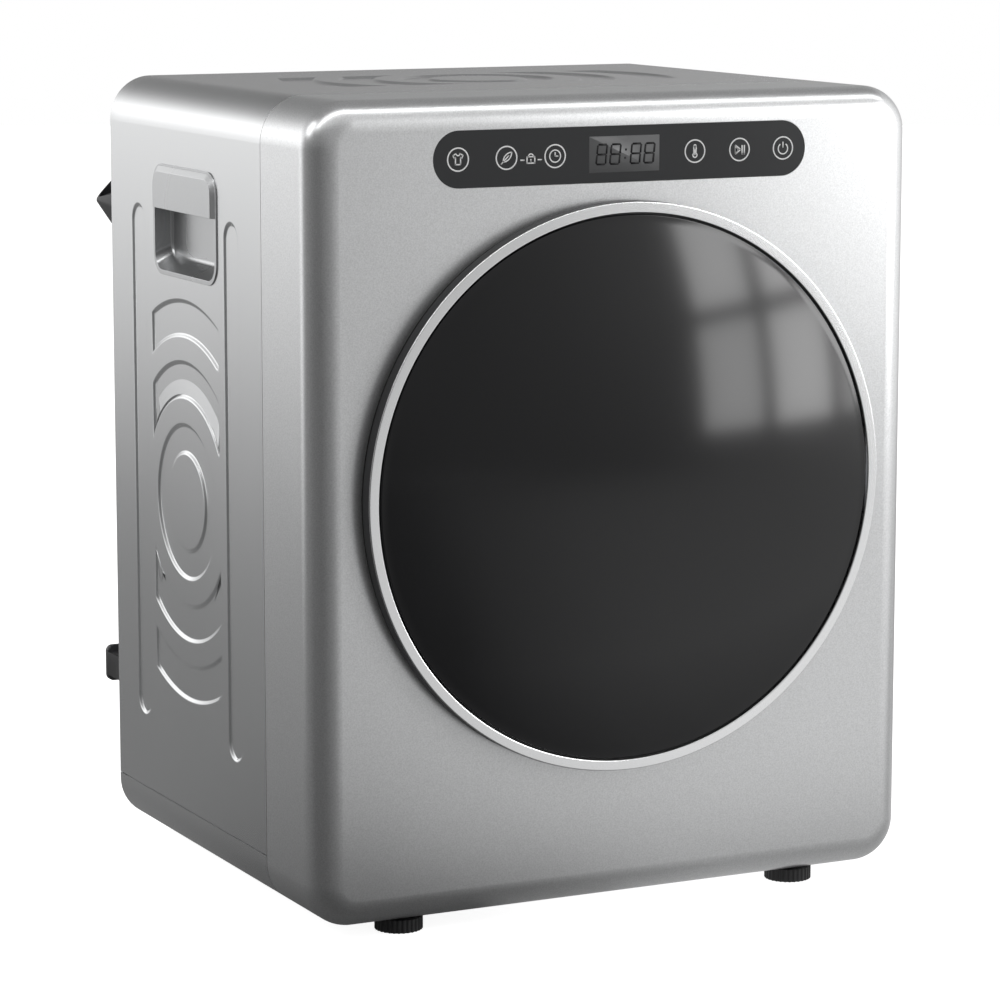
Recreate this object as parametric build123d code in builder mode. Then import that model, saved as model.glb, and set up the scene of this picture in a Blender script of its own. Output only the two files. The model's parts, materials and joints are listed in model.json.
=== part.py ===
from build123d import *
import os
from math import asin, atan2, cos, pi, radians, sin, sqrt, tan

# Compact vented clothes dryer with a large round front door.
# Millimetres. +X is to the right of someone facing the door, +Y runs from the door to the
# back and +Z is up. The origin is on the floor, under the middle of the machine.

os.makedirs("parts", exist_ok=True)

# --- Cabinet ---------------------------------------------------------------------------
WIDTH = 495.0
BODY_HEIGHT = 599.0
CABINET_DEPTH = 395.0
FOOT_GAP = 12.0            # underside of the cabinet above the floor
CORNER_R = 34.0            # rounded corners seen from the front
FACE_FILLET = 23.5         # roll from the front face into the sides
FRONT_DEPTH = 90.0         # depth of the moulded front, back to the seam
PANEL_WALL = 3.0           # wall of the moulded front
SHEET = 1.0                # steel sheet of the wrap, base and back
SEAM = 0.6                 # visible joint between two outer pieces
PAN_HEIGHT = 39.0          # base pan's side walls
LIP = 8.0                  # hidden lips behind the seams
LIP_ENDS = 12.0            # the pan's lips stop this far from its ends
JOGGLE = 2.5               # step that carries the pan's lip inside the wrap
TRAY_OVERLAP = 12.0        # the forward tray runs on over the pan's floor
FRONT_BOSSES = ((25.5, 245.0), (18.5, 92.0))   # in from the side, up or down from the door's centre
FRONT_BOSS_R = 6.0
PILOT_R = 1.6
FIT = 0.3                  # gap between pieces that only stand beside each other
RUNNING = 0.05             # radial gap of a shaft in its bearing
FLANGE = 14.0              # turned-in rim at the cabinet's back

# --- Pressed pattern of the sides and the top ------------------------------------------
EMBOSS = 2.5
EMBOSS_TAPER = 52.0
PATTERN_HEIGHT = 282.0     # centre of the ring above the cabinet's underside
DISC_BAND = (36.0, 61.0)
ARC_BANDS = ((79.0, 109.0), (126.0, 156.0))
BAND_HALF = 68.5
FLUTE_WIDTH = 29.0
FLUTE_OFFSET = 94.0
FLUTE_LOW = 97.5
FLUTE_HIGH = 504.5

# --- Carrying handles ------------------------------------------------------------------
HANDLE_LENGTH = 128.0
HANDLE_HEIGHT = 85.0
HANDLE_DEPTH_IN = 238.0    # middle of the handle behind the front face
HANDLE_DROP = 61.0
HANDLE_R = 14.0
HOOD_HEIGHT = 34.0
HOOD_PROUD = 3.6
RIM_PROUD = 1.5
HOOD_TAPER = 50.0
POCKET_DEPTH = 14.0
HANDLE_WALL = 2.0
HANDLE_RIM = 6.0

# --- Door ------------------------------------------------------------------------------
DOOR_HEIGHT = 311.5
RING_R = 210.5
RING_FACE = 7.8
RING_PROUD = 15.2
RING_STANDOFF = 4.0
RING_SKIN = 1.6
LENS_GAP = 1.5
LENS_SETBACK = 1.2
DOME_RISE = 28.0
LENS_WALL = 3.0
FRAME_PLATE = 3.0
FRAME_BORE = 150.0
SPIGOT_R = 181.0
SPIGOT_WALL = 5.0
SPIGOT_END = 13.0
BOWL_SEAT = 8.0
BOWL_WALL = 2.5
BOWL_DEPTH = 44.0
BOWL_FLAT_R = 95.0
BOWL_FILLET = 6.0
STRIKER_X = 193.5
STRIKER_T = 3.0
STRIKER_HALF = 7.0
STRIKER_END = 14.0
STRIKER_WINDOW = (4.5, 10.0)
STRIKER_CLEAR = (2.5, 2.0, 1.5)   # slot's room on the outer side, the inner side, above and below
CATCH_X = 206.0
CATCH_HALF = 16.0
CATCH_END = 20.0
CATCH_WALL = 2.0
SWITCH_X = -189.0
SWITCH_RISE = 38.0
SWITCH_SIDES = (9.0, 3.5)         # switch body to the left and right of its plunger
SWITCH_HALF = 9.0
SWITCH_END = 19.0
SWITCH_TRAVEL = 3.0
PLUNGER_R = 2.0
PLUNGER_IN = 8.0
RING_WALL = 2.0
RING_EDGE = 0.6
BOWL_HEEL = 4.0            # rise of the bowl's floor from its rim to its middle

# --- Hinge -----------------------------------------------------------------------------
HINGE_X = 204.5
HINGE_PROUD = 9.5
KNUCKLE_R = 3.2
PIN_R = 1.5
MOVING_HALF = 19.5
KNUCKLE_GAP = 0.5
FIXED_KNUCKLE = 12.0
TONGUE_T = 3.0
HINGE_PLATE = 2.5
HINGE_MARGIN = 12.0        # plate beyond the tongues, up and down
LEAF_T = 2.5
LEAF_POCKET = 3.6          # notch in the inner frame, in from the hinge's axis
RING_POCKET = 8.0          # notch in the ring, in from the hinge's axis

# --- Throat, filter and duct -----------------------------------------------------------
THROAT_MOUTH_R = 184.0
OPENING_R = 198.0          # hole in the front panel
THROAT_WALL = 2.5
BULKHEAD_AT = 22.0
BULKHEAD_SIDE = 8.0        # bulkhead in from the cabinet's sides
BULKHEAD_TOP = 11.0        # and down from its top
BULKHEAD_CORNER = 24.0
NECK_R = 165.0             # outside of the tube that the drum turns on
NECK_END = 86.0
SEAL_R = (184.3, 188.5)
FILTER_HALF = 58.0
FILTER_AT = (52.0, 60.0)
FILTER_LOW = 80.0
DUCT_AT = (44.0, 66.0)
DUCT_HALF = 66.0
DUCT_WALL = 2.0
DUCT_FOOT = 6.0            # duct floor below the filter
DUCT_COLLAR = 14.0         # duct's top above the bottom of the throat
DUCT_LEDGE = 5.0           # ledges that the filter stands on reach in under it
EYE_MARGIN = 10.0
FILTER_SLACK = 2.0         # room in front of and behind the filter
FILTER_SIDE = 3.0          # room beside it in the throat
MESH_BAR = 8.0
MESH_T = 0.8
TAB = (36.0, 14.0, 4.0)
EYE_R = 32.0               # blower's inlet

# --- Drum ------------------------------------------------------------------------------
DRUM_R = 215.0
DRUM_SHEET = 1.2
DRUM_NECK_R = 170.0
DRUM_NECK_AT = 70.0
DRUM_FACE_AT = 85.0
DRUM_END = 341.0
DRUM_BACK_AT = 338.0
LIFTER_HEIGHT = 30.0
LIFTER_BASE = 44.0
LIFTER_SLOPE = 65.0
LIFTER_ROOT = 4.0          # lifter's foot before it is cut to the drum's curve
LIFTER_CREST_R = 6.0
LIFTER_RUN = (100.0, 310.0)
DRUM_SHAFT_R = 10.0
SHAFT_PLATE = (55.0, 4.0)  # round plate that carries the drum's back: radius, thickness
SHAFT_BEYOND = 22.0
BACK_HOLES = ((70, 16), (90, 22), (110, 26), (130, 30), (150, 36), (170, 40))   # ring radius, holes
BACK_HOLE_R = 3.5
FELT_R = (196.0, 206.0)

# --- Back ------------------------------------------------------------------------------
REAR_BULKHEAD_AT = 350.0
BULKHEAD_SHEET = 1.5
BULKHEAD_FLANGE = 12.0
BEARING_R = 20.0
BEARING_FLANGE = 12.0
BEARING_RUN = (-4.0, 14.0)  # bush before and behind the bulkhead's front
HEATER_HALF = 88.0
HEATER_RISE = (55.0, 135.0)
HEATER_WALL = 1.2
HEATER_RIM = 6.0
HEATER_BLOCK = (10.0, 28.0)
HEATER_END_CAP = 8.0
FIN_COUNT = 22
FIN_ROWS = 3
FIN_PITCH = 24.0
FIN_CELL = 19.0
FIN_T = 1.4
THERMOSTAT = (8.0, 9.0, 14.0, 1.0)   # cap radius and height, half length and thickness of the base
THERMOSTAT_X = 40.0
INLET_SLOT = (24.0, 4.0)
INLET_GRID = (32.0, 9.0, 5, 7)
VENT_SLOT = (28.0, 4.0)
VENT_GRID = (40.0, 12.0, 6, 4)
VENT_DROP = 60.0
EXHAUST_X = -5.0
EXHAUST_HEIGHT = 66.0
COLLAR_R = 50.0
COLLAR_WALL = 2.0
COLLAR_REACH = 27.0
COLLAR_FLANGE = 2.0
COLLAR_RIM = 12.0
RISE_RUN = (3.0, 4.0)      # the duct starts to rise behind the bulkhead, ends before the back panel
HOOK_REACH = 42.0
HOOK_X = -223.5
SCOOP_HEIGHTS = (455.5, 498.0)   # foot of the scoop, and the lowest point of its mouth
SCOOP_R = 24.0
SCOOP_CORNER = 10.0
SCOOP_WALL = 2.0
SCOOP_TILT = 45.0          # the mouth looks up and out to the left
SCOOP_LEAN = 11.0          # and a little to the rear
SCOOP_POINT = 0.15         # size of the scoop's foot as a share of its mouth
LOW_HOOK = (109.0, 138.0)
LOW_HOOK_REACH = 30.0
LOW_HOOK_T = 5.0
LOW_HOOK_WIDTH = 30.0
GLAND_X = -165.0
GLAND_HEIGHT = 70.0
GLAND_R = 9.0
GLAND_FLANGE_R = 13.0
GLAND_RUN = 12.0           # gland inside and outside the back panel
CORD_R = 4.1
SCREW_R = 1.9
SCREW_HEAD_R = 3.6
SCREW_HEAD = 2.2
SCREW_EDGE = 8.0           # back screws in from the cabinet's outline
SIDE_SCREW_RISES = (70.0, 240.0, 390.0, 540.0)
TOP_SCREWS = (-140.0, 0.0, 140.0)
LOW_SCREWS = (-110.0, 110.0)

# --- Motor, blower and belt ------------------------------------------------------------
MOTOR_X = 165.0
MOTOR_HEIGHT = 66.0
MOTOR_R = 42.0
MOTOR_RUN = (150.0, 262.0)
MOTOR_HUB_R = 20.0
MOTOR_HUB = 8.0
MOTOR_SHAFT_R = 5.0
CASE_WALL = 3.0
CASE_VENTS = 10
CASE_VENT = (12.0, 5.0)
MOTOR_BEARING_R = 11.0
STACK_R = 25.0             # rotor stack
STACK_END = 28.0           # stack in from the casing's ends
AIR_GAP = 0.6
WINDING = 14.0             # winding heads beyond the stack
BRACKET_T = 3.0
BRACKET_HALF = 40.0
BRACKET_EAR = 6.0
BLOWER_R = 56.0
BLOWER_RUN = (66.0, 106.0)
WHEEL_R = 45.0
WHEEL_RUN = (71.0, 100.0)
WHEEL_BLADES = 22
WHEEL_PLATE = 2.0
WHEEL_RING = 1.5
WHEEL_HUB_R = 11.0
BLADE_IN = 32.0
BLADE_T = 1.4
BLADE_ANGLE = 32.0
SEAT_GAP = 0.02            # pieces pressed on a shaft or into a bore
SHAFT_CLEAR = 1.5
PULLEY_R = 9.0
PULLEY_FLANGE_R = 13.0
PULLEY_END = 4.0           # pulley beyond the belt on each side
CAPACITOR = (-130.0, 200.0)
CAPACITOR_R = 20.0
CAPACITOR_HEIGHT = 72.0
TERMINAL = (6.0, 3.0, 8.0) # terminals off centre, half width, height
BELT_AT = 299.0
BELT_WIDTH = 9.0
BELT_T = 3.0
IDLER_R = 14.0
IDLER_X = 100.0
IDLER_HEIGHT = 62.0
IDLER_PIVOT_X = 58.0
IDLER_PIVOT_HEIGHT = 26.0
IDLER_PIN_R = 4.0
ARM_T = 4.0
ARM_HEAD_R = 9.0
ARM_OFF = 10.0             # arm in front of the belt
PIVOT_PLATE = 3.0
PIVOT_HALF = 14.0
PIVOT_FOOT = (34.0, 6.0)
PIVOT_AHEAD = 12.0         # upright plate in front of the arm
SPRING_R = 6.4
SPRING_WIRE = 1.0
SPRING_PITCH = 2.1
SPRING_TURNS = 3
CHANNEL = (-45.0, 35.0)    # exhaust channel under the drum, left and right
CHANNEL_HIGH = 55.0
CHANNEL_R = 3.0
OUTLET_GAP = 30.0          # blower's outlet runs on this far beyond its scroll

# --- Controls --------------------------------------------------------------------------
PILL_LENGTH = 305.6
PILL_HEIGHT = 41.4
PILL_DROP = 43.2
PILL_POCKET = 1.8
PILL_LEDGE = 5.0
LENS_SLAB = 1.6
KEYS = (-133.0, -94.5, -55.5, 59.5, 97.0, 134.0)
DISPLAY = (57.6, 26.2)
BOARD_AT = 12.0
BOARD_T = 1.6
HOUSING_END = 21.7
HOUSING_WALL = 2.0
HOUSING_R = 8.0
BOARD_MARGIN = 6.0
HOUSING_SIDE = 5.0         # housing beyond the touch lens, left and right
STAND_OFF_R = 2.5
STAND_OFF_X = (-110.0, -20.0, 40.0, 105.0)
STAND_OFF_RISE = 12.0
BOARD_PARTS = ((-125.0, 9.0), (-85.0, 5.0), (75.0, 7.0), (128.0, 8.0))   # middle, half width
BOARD_PART = (4.0, 5.0)    # how far a component stands off, half height
DISPLAY_X = 1.0
PAD_R = 6.0
LENS_SLACK = 0.2           # touch lens inside its recess, all round
LENS_EDGE_CUT = 0.4

# --- Feet ------------------------------------------------------------------------------
FOOT_R = 18.0
FOOT_X = 166.0
FOOT_SETBACK = 35.0
FOOT_DISC = 10.0
STUD_R = 4.0
STUD_TOP = 46.0
BOSS_R = 8.5
BOSS_TOP = 41.0
FOOT_SCALLOPS = 30
SCALLOP_R = 1.3
SCALLOP_OUT = 0.4
FOOT_EDGE = 0.4
STUD_EDGE = 0.8

# --- Places worked out from the sizes above --------------------------------------------
Z_BASE = FOOT_GAP
Z_TOP = Z_BASE + BODY_HEIGHT
Z_MID = Z_BASE + BODY_HEIGHT / 2
Z_DOOR = Z_BASE + DOOR_HEIGHT
Z_MOTOR = Z_BASE + MOTOR_HEIGHT
Z_EXHAUST = Z_BASE + EXHAUST_HEIGHT
Z_PILL = Z_TOP - PILL_DROP
Z_SEAM = Z_BASE + PAN_HEIGHT
HANDLE_Z = Z_TOP - HANDLE_DROP - HANDLE_HEIGHT / 2
SIDE_X = WIDTH / 2
DOME_PROUD = RING_PROUD - LENS_SETBACK + DOME_RISE
Y_FACE = DOME_PROUD - (DOME_PROUD + CABINET_DEPTH + HOOK_REACH) / 2
RING_BORE = RING_R - RING_FACE
LENS_R = RING_BORE - LENS_GAP
PAN_FLOOR = Z_BASE + SHEET
TRAY_TOP = Z_BASE + PANEL_WALL + 2.0   # top of the pan's forward tray
BACK_AT = CABINET_DEPTH - SHEET        # front of the back panel
INNER_X = SIDE_X - SHEET - EMBOSS - FIT
DRUM_CLEAR_R = DRUM_R - DRUM_SHEET
SCREW_ROWS = [Z_BASE + rise for rise in SIDE_SCREW_RISES]
REAR_SCREWS = [(side * (SIDE_X - SCREW_EDGE), z) for side in (-1, 1) for z in SCREW_ROWS]
REAR_SCREWS += [(x, Z_TOP - SCREW_EDGE) for x in TOP_SCREWS]
REAR_SCREWS += [(x, Z_BASE + SCREW_EDGE) for x in LOW_SCREWS]
COLLAR_SCREW_R = COLLAR_R + COLLAR_RIM / 2 + 1
COLLAR_SCREWS = [
    (EXHAUST_X + COLLAR_SCREW_R * cos(a), Z_EXHAUST + COLLAR_SCREW_R * sin(a))
    for a in (pi / 4, 3 * pi / 4, 5 * pi / 4, 7 * pi / 4)
]


def depth(d):
    """Y of a point d behind the front face."""
    return Y_FACE + d


def facing_front(d, x=0.0, z=0.0):
    """Plane seen from the front: local x is +X and local y is +Z."""
    return Plane(origin=(x, depth(d), z), x_dir=(1, 0, 0), z_dir=(0, -1, 0))


def facing_side(side, d, z, proud=0.0):
    """Plane on a side wall, looking out: local y is +Z. side is -1 left or +1 right."""
    return Plane(origin=(side * (SIDE_X + proud), depth(d), z), x_dir=(0, side, 0), z_dir=(side, 0, 0))


def level(z, x=0.0, d=0.0):
    """Horizontal plane at height z: local x is +X and local y is +Y."""
    return Plane(origin=(x, depth(d), z), x_dir=(1, 0, 0), z_dir=(0, 0, 1))


def block(x, d, z, mode=Mode.ADD):
    """Box between two values of X, of depth behind the face and of height."""
    with Locations(((x[0] + x[1]) / 2, depth((d[0] + d[1]) / 2), (z[0] + z[1]) / 2)):
        Box(x[1] - x[0], d[1] - d[0], z[1] - z[0], mode=mode)


def turned(outline, x=0.0, z=Z_DOOR, mode=Mode.ADD):
    """Turn an outline of (radius, depth) points about an axis along Y."""
    with BuildSketch(level(z, x)) as section:
        with BuildLine():
            Polyline(*outline, close=True)
        make_face()
    revolve(section.sketch, axis=Axis((x, Y_FACE, z), (0, 1, 0)), mode=mode)


def tube(r, d, x=0.0, z=Z_DOOR, mode=Mode.ADD):
    """Tube, or a rod where the first radius is 0, along Y."""
    turned([(r[0], d[0]), (r[1], d[0]), (r[1], d[1]), (r[0], d[1])], x, z, mode)


def post(r, z, x, d, mode=Mode.ADD):
    """Upright round post."""
    with Locations((x, depth(d), (z[0] + z[1]) / 2)):
        Cylinder(r, z[1] - z[0], mode=mode)


def cabinet_slab(d, inset, mode=Mode.ADD):
    """Slab with the cabinet's rounded outline, drawn in by inset."""
    with BuildSketch(facing_front(d[0], 0, Z_MID)) as outline:
        RectangleRounded(WIDTH - 2 * inset, BODY_HEIGHT - 2 * inset, CORNER_R - inset)
    extrude(outline.sketch, amount=-(d[1] - d[0]), mode=mode)


def front_form(inset, end):
    """Solid form of the moulded front, drawn in by inset and ending at depth end."""
    with BuildPart() as form:
        cabinet_slab((inset, end), inset)
        fillet(form.edges().group_by(Axis.Y)[0], FACE_FILLET - inset)
    return form.part


def screw_holes():
    """Cut the back screws' holes through a turned-in rim."""
    for x, z in REAR_SCREWS:
        rim_run = (BACK_AT - 2 * SHEET, CABINET_DEPTH + 1)
        tube((0, SCREW_R + RUNNING), rim_run, x, z, Mode.SUBTRACT)


def radius_at(height, r):
    """Half chord of a circle of radius r at a height above its centre."""
    return sqrt(r * r - height * height)


# --- front_panel: moulded front with its rolled edge -----------------------------------
BOSS_PLACES = [
    (sx * (SIDE_X - inset), Z_DOOR + sz * rise)
    for inset, rise in FRONT_BOSSES
    for sx in (-1, 1)
    for sz in (-1, 1)
]
TONGUES = [(MOVING_HALF + KNUCKLE_GAP, MOVING_HALF + KNUCKLE_GAP + FIXED_KNUCKLE)]
TONGUES += [(-TONGUES[0][1], -TONGUES[0][0])]
front_outside = front_form(0, FRONT_DEPTH)
front_inside = front_form(PANEL_WALL, FRONT_DEPTH)
LIP_INSET = SHEET + FIT
with BuildPart() as front_panel:
    add(front_outside)
    add(front_inside, mode=Mode.SUBTRACT)
    cabinet_slab((FRONT_DEPTH, FRONT_DEPTH + LIP), LIP_INSET)
    cabinet_slab((FRONT_DEPTH, FRONT_DEPTH + LIP), PANEL_WALL, Mode.SUBTRACT)
    block((-WIDTH, WIDTH), (FRONT_DEPTH, FRONT_DEPTH + LIP), (0, Z_SEAM + LIP + FIT), Mode.SUBTRACT)
    for boss_x, boss_z in BOSS_PLACES:
        tube((0, FRONT_BOSS_R), (PANEL_WALL - 1, BULKHEAD_AT), boss_x, boss_z)
        tube((0, PILOT_R), (2 * PANEL_WALL, BULKHEAD_AT + 1), boss_x, boss_z, Mode.SUBTRACT)
    tube((0, OPENING_R), (-1, PANEL_WALL + 1), mode=Mode.SUBTRACT)
    with BuildSketch(facing_front(0, 0, Z_PILL)) as pill_pocket:
        SlotOverall(PILL_LENGTH, PILL_HEIGHT)
    extrude(pill_pocket.sketch, amount=-PILL_POCKET, mode=Mode.SUBTRACT)
    with BuildSketch(facing_front(0, 0, Z_PILL)) as pill_window:
        SlotOverall(PILL_LENGTH - 2 * PILL_LEDGE, PILL_HEIGHT - 2 * PILL_LEDGE)
    extrude(pill_window.sketch, amount=-(PANEL_WALL + 1), mode=Mode.SUBTRACT)
    for low, high in TONGUES:
        block(
            (HINGE_X - TONGUE_T / 2 - FIT, HINGE_X + TONGUE_T / 2 + FIT),
            (-1, PANEL_WALL + 1),
            (Z_DOOR + low - FIT, Z_DOOR + high + FIT),
            Mode.SUBTRACT,
        )
    for side in (-1, 1):
        post(BOSS_R, (Z_BASE - 1, Z_BASE + PANEL_WALL + 1), side * FOOT_X, FOOT_SETBACK, Mode.SUBTRACT)
front_panel.part.label = "front_panel"
export_step(front_panel.part, "parts/front_panel.step")

# --- cabinet_wrap: one sheet over the top and down both sides --------------------------
WRAP_START = FRONT_DEPTH + SEAM
WRAP_MID = (FRONT_DEPTH + CABINET_DEPTH) / 2
PATTERN_Z = Z_BASE + PATTERN_HEIGHT
WRAP_LOW = Z_SEAM + SEAM / 2
LEFT_PATTERN = facing_side(-1, WRAP_MID, PATTERN_Z)
RIGHT_PATTERN = facing_side(1, WRAP_MID, PATTERN_Z)
TOP_PATTERN = Plane(origin=(0, depth(WRAP_MID), Z_TOP), x_dir=(0, -1, 0), z_dir=(0, 0, 1))


def band(plane, r_in, r_out, grow):
    """Pair of arcs cut from a ring by two parallel lines, made larger by grow."""
    with BuildSketch(plane) as arcs:
        Circle(r_out + grow)
        Circle(r_in - grow, mode=Mode.SUBTRACT)
        Rectangle(2 * (BAND_HALF + grow), 3 * r_out, mode=Mode.INTERSECT)
    return arcs.sketch


def disc_ring(plane, grow):
    """Round groove at the middle of the pattern."""
    with BuildSketch(plane) as ring:
        Circle(DISC_BAND[1] + grow)
        Circle(DISC_BAND[0] - grow, mode=Mode.SUBTRACT)
    return ring.sketch


def flutes(plane, grow):
    """Two long upright grooves with round ends."""
    middle = (FLUTE_LOW + FLUTE_HIGH) / 2 - PATTERN_HEIGHT
    with BuildSketch(plane) as pair:
        with Locations((-FLUTE_OFFSET, middle), (FLUTE_OFFSET, middle)):
            SlotOverall(FLUTE_HIGH - FLUTE_LOW + 2 * grow, FLUTE_WIDTH + 2 * grow, rotation=90)
    return pair.sketch


def pattern(plane, grow, with_flutes):
    """Every groove of one panel as a list of sketches."""
    shapes = [band(plane, low, high, grow) for low, high in ARC_BANDS]
    shapes += [disc_ring(plane, grow)]
    if with_flutes:
        shapes += [flutes(plane, grow)]
    return shapes


with BuildPart() as cabinet_wrap:
    cabinet_slab((WRAP_START, BACK_AT), 0)
    cabinet_slab((WRAP_START, BACK_AT), SHEET, Mode.SUBTRACT)
    cabinet_slab((BACK_AT - SHEET, BACK_AT), 0.5 * SHEET)
    cabinet_slab((BACK_AT - SHEET, BACK_AT), FLANGE, Mode.SUBTRACT)
    cabinet_slab((BACK_AT, CABINET_DEPTH), 0)
    cabinet_slab((BACK_AT, CABINET_DEPTH), SHEET, Mode.SUBTRACT)
    block((-WIDTH, WIDTH), (0, CABINET_DEPTH + 1), (0, WRAP_LOW), Mode.SUBTRACT)
    screw_holes()
    for panel, fluted in ((LEFT_PATTERN, True), (RIGHT_PATTERN, True), (TOP_PATTERN, False)):
        for shape in pattern(panel, SHEET, fluted):
            extrude(shape, amount=-(EMBOSS + SHEET), taper=EMBOSS_TAPER)
        for shape in pattern(panel, 0, fluted):
            extrude(shape, amount=-EMBOSS, taper=EMBOSS_TAPER, mode=Mode.SUBTRACT)
    for side in (-1, 1):
        with BuildSketch(facing_side(side, HANDLE_DEPTH_IN, HANDLE_Z)) as gap:
            hole_size = (HANDLE_LENGTH - HANDLE_RIM, HANDLE_HEIGHT - HANDLE_RIM)
            RectangleRounded(*hole_size, HANDLE_R - HANDLE_RIM / 2)
        extrude(gap.sketch, amount=-(SHEET + EMBOSS), mode=Mode.SUBTRACT)
cabinet_wrap.part.label = "cabinet_wrap"
export_step(cabinet_wrap.part, "parts/cabinet_wrap.step")

# --- side handles: a pocket with a hood to lift by --------------------------------------
CUP_INSET = HANDLE_RIM / 2 + FIT
for side, name in ((-1, "side_handle_left"), (1, "side_handle_right")):
    handle_plane = facing_side(side, HANDLE_DEPTH_IN, HANDLE_Z)
    with BuildPart() as side_handle:
        with BuildSketch(handle_plane) as outline:
            RectangleRounded(HANDLE_LENGTH, HANDLE_HEIGHT, HANDLE_R)
        extrude(outline.sketch, amount=HOOD_PROUD, taper=HOOD_TAPER)
        with BuildSketch(facing_side(side, HANDLE_DEPTH_IN, HANDLE_Z - HANDLE_HEIGHT / 2, RIM_PROUD)) as below_hood:
            with Locations((0, (HANDLE_HEIGHT - HOOD_HEIGHT) / 2)):
                Rectangle(2 * HANDLE_LENGTH, HANDLE_HEIGHT - HOOD_HEIGHT)
        extrude(below_hood.sketch, amount=HOOD_PROUD, mode=Mode.SUBTRACT)
        with BuildSketch(handle_plane) as cup:
            RectangleRounded(
                HANDLE_LENGTH - 2 * CUP_INSET, HANDLE_HEIGHT - 2 * CUP_INSET, HANDLE_R - CUP_INSET
            )
        extrude(cup.sketch, amount=-(POCKET_DEPTH + HANDLE_WALL))
        with BuildSketch(handle_plane.offset(HOOD_PROUD - HANDLE_WALL)) as pocket:
            RectangleRounded(
                HANDLE_LENGTH - 2 * CUP_INSET - 2 * HANDLE_WALL,
                HANDLE_HEIGHT - 2 * CUP_INSET - 2 * HANDLE_WALL,
                HANDLE_R - CUP_INSET - HANDLE_WALL,
            )
        extrude(pocket.sketch, amount=-(POCKET_DEPTH + HOOD_PROUD - HANDLE_WALL), mode=Mode.SUBTRACT)
    side_handle.part.label = name
    export_step(side_handle.part, f"parts/{name}.step")

# --- base_pan: floor, low side walls and a tray under the front ------------------------
TRAY_X = SIDE_X - CORNER_R - FIT        # inside the front's rounded lower corners
TRAY_END = WRAP_START + TRAY_OVERLAP
LIP_RUN = (WRAP_START + LIP_ENDS, BACK_AT - LIP_ENDS)
REAR_FOOT = CABINET_DEPTH - FOOT_SETBACK
FOOT_PLACES = {
    "foot_front_left": (-FOOT_X, FOOT_SETBACK),
    "foot_front_right": (FOOT_X, FOOT_SETBACK),
    "foot_rear_left": (-FOOT_X, REAR_FOOT),
    "foot_rear_right": (FOOT_X, REAR_FOOT),
}
with BuildPart() as base_pan:
    cabinet_slab((WRAP_START, BACK_AT), 0)
    cabinet_slab((WRAP_START, BACK_AT), SHEET, Mode.SUBTRACT)
    cabinet_slab((BACK_AT - SHEET, BACK_AT), 0.5 * SHEET)
    cabinet_slab((BACK_AT - SHEET, BACK_AT), FLANGE, Mode.SUBTRACT)
    cabinet_slab((BACK_AT, CABINET_DEPTH), 0)
    cabinet_slab((BACK_AT, CABINET_DEPTH), SHEET, Mode.SUBTRACT)
    block((-WIDTH, WIDTH), (0, CABINET_DEPTH + 1), (Z_SEAM - SEAM / 2, Z_TOP + 1), Mode.SUBTRACT)
    screw_holes()
    for side in (-1, 1):
        lip_x = sorted((side * (SIDE_X - SHEET - FIT), side * (SIDE_X - 2 * SHEET - FIT)))
        root_x = sorted((side * (SIDE_X - SHEET / 2), side * (SIDE_X - 2 * SHEET - FIT)))
        block(root_x, LIP_RUN, (Z_SEAM - 2 * JOGGLE, Z_SEAM - JOGGLE))
        block(lip_x, LIP_RUN, (Z_SEAM - 2 * JOGGLE, Z_SEAM + LIP))
    block((-TRAY_X, TRAY_X), (FACE_FILLET + FIT, TRAY_END), (Z_BASE + PANEL_WALL, TRAY_TOP))
    block((-TRAY_X, TRAY_X), (WRAP_START, TRAY_END), (PAN_FLOOR - SHEET / 2, TRAY_TOP))
    for foot_x, foot_d in FOOT_PLACES.values():
        low = Z_BASE + PANEL_WALL if foot_d < FRONT_DEPTH else Z_BASE + SHEET / 2
        post(BOSS_R, (low, BOSS_TOP), foot_x, foot_d)
        post(STUD_R + RUNNING, (0, BOSS_TOP + 1), foot_x, foot_d, Mode.SUBTRACT)
base_pan.part.label = "base_pan"
export_step(base_pan.part, "parts/base_pan.step")

# --- levelling feet: knurled discs on threaded studs ------------------------------------
for name, (foot_x, foot_d) in FOOT_PLACES.items():
    with BuildPart() as foot:
        with BuildSketch(level(0, foot_x, foot_d)) as disc:
            Circle(FOOT_R)
            with PolarLocations(FOOT_R + SCALLOP_OUT, FOOT_SCALLOPS):
                Circle(SCALLOP_R, mode=Mode.SUBTRACT)
        extrude(disc.sketch, amount=FOOT_DISC)
        chamfer(foot.faces().sort_by(Axis.Z)[0].edges(), FOOT_EDGE)
        post(STUD_R, (FOOT_DISC - 1, STUD_TOP), foot_x, foot_d)
        chamfer(foot.faces().sort_by(Axis.Z)[-1].edges(), STUD_EDGE)
    foot.part.label = name
    export_step(foot.part, f"parts/{name}.step")

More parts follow.
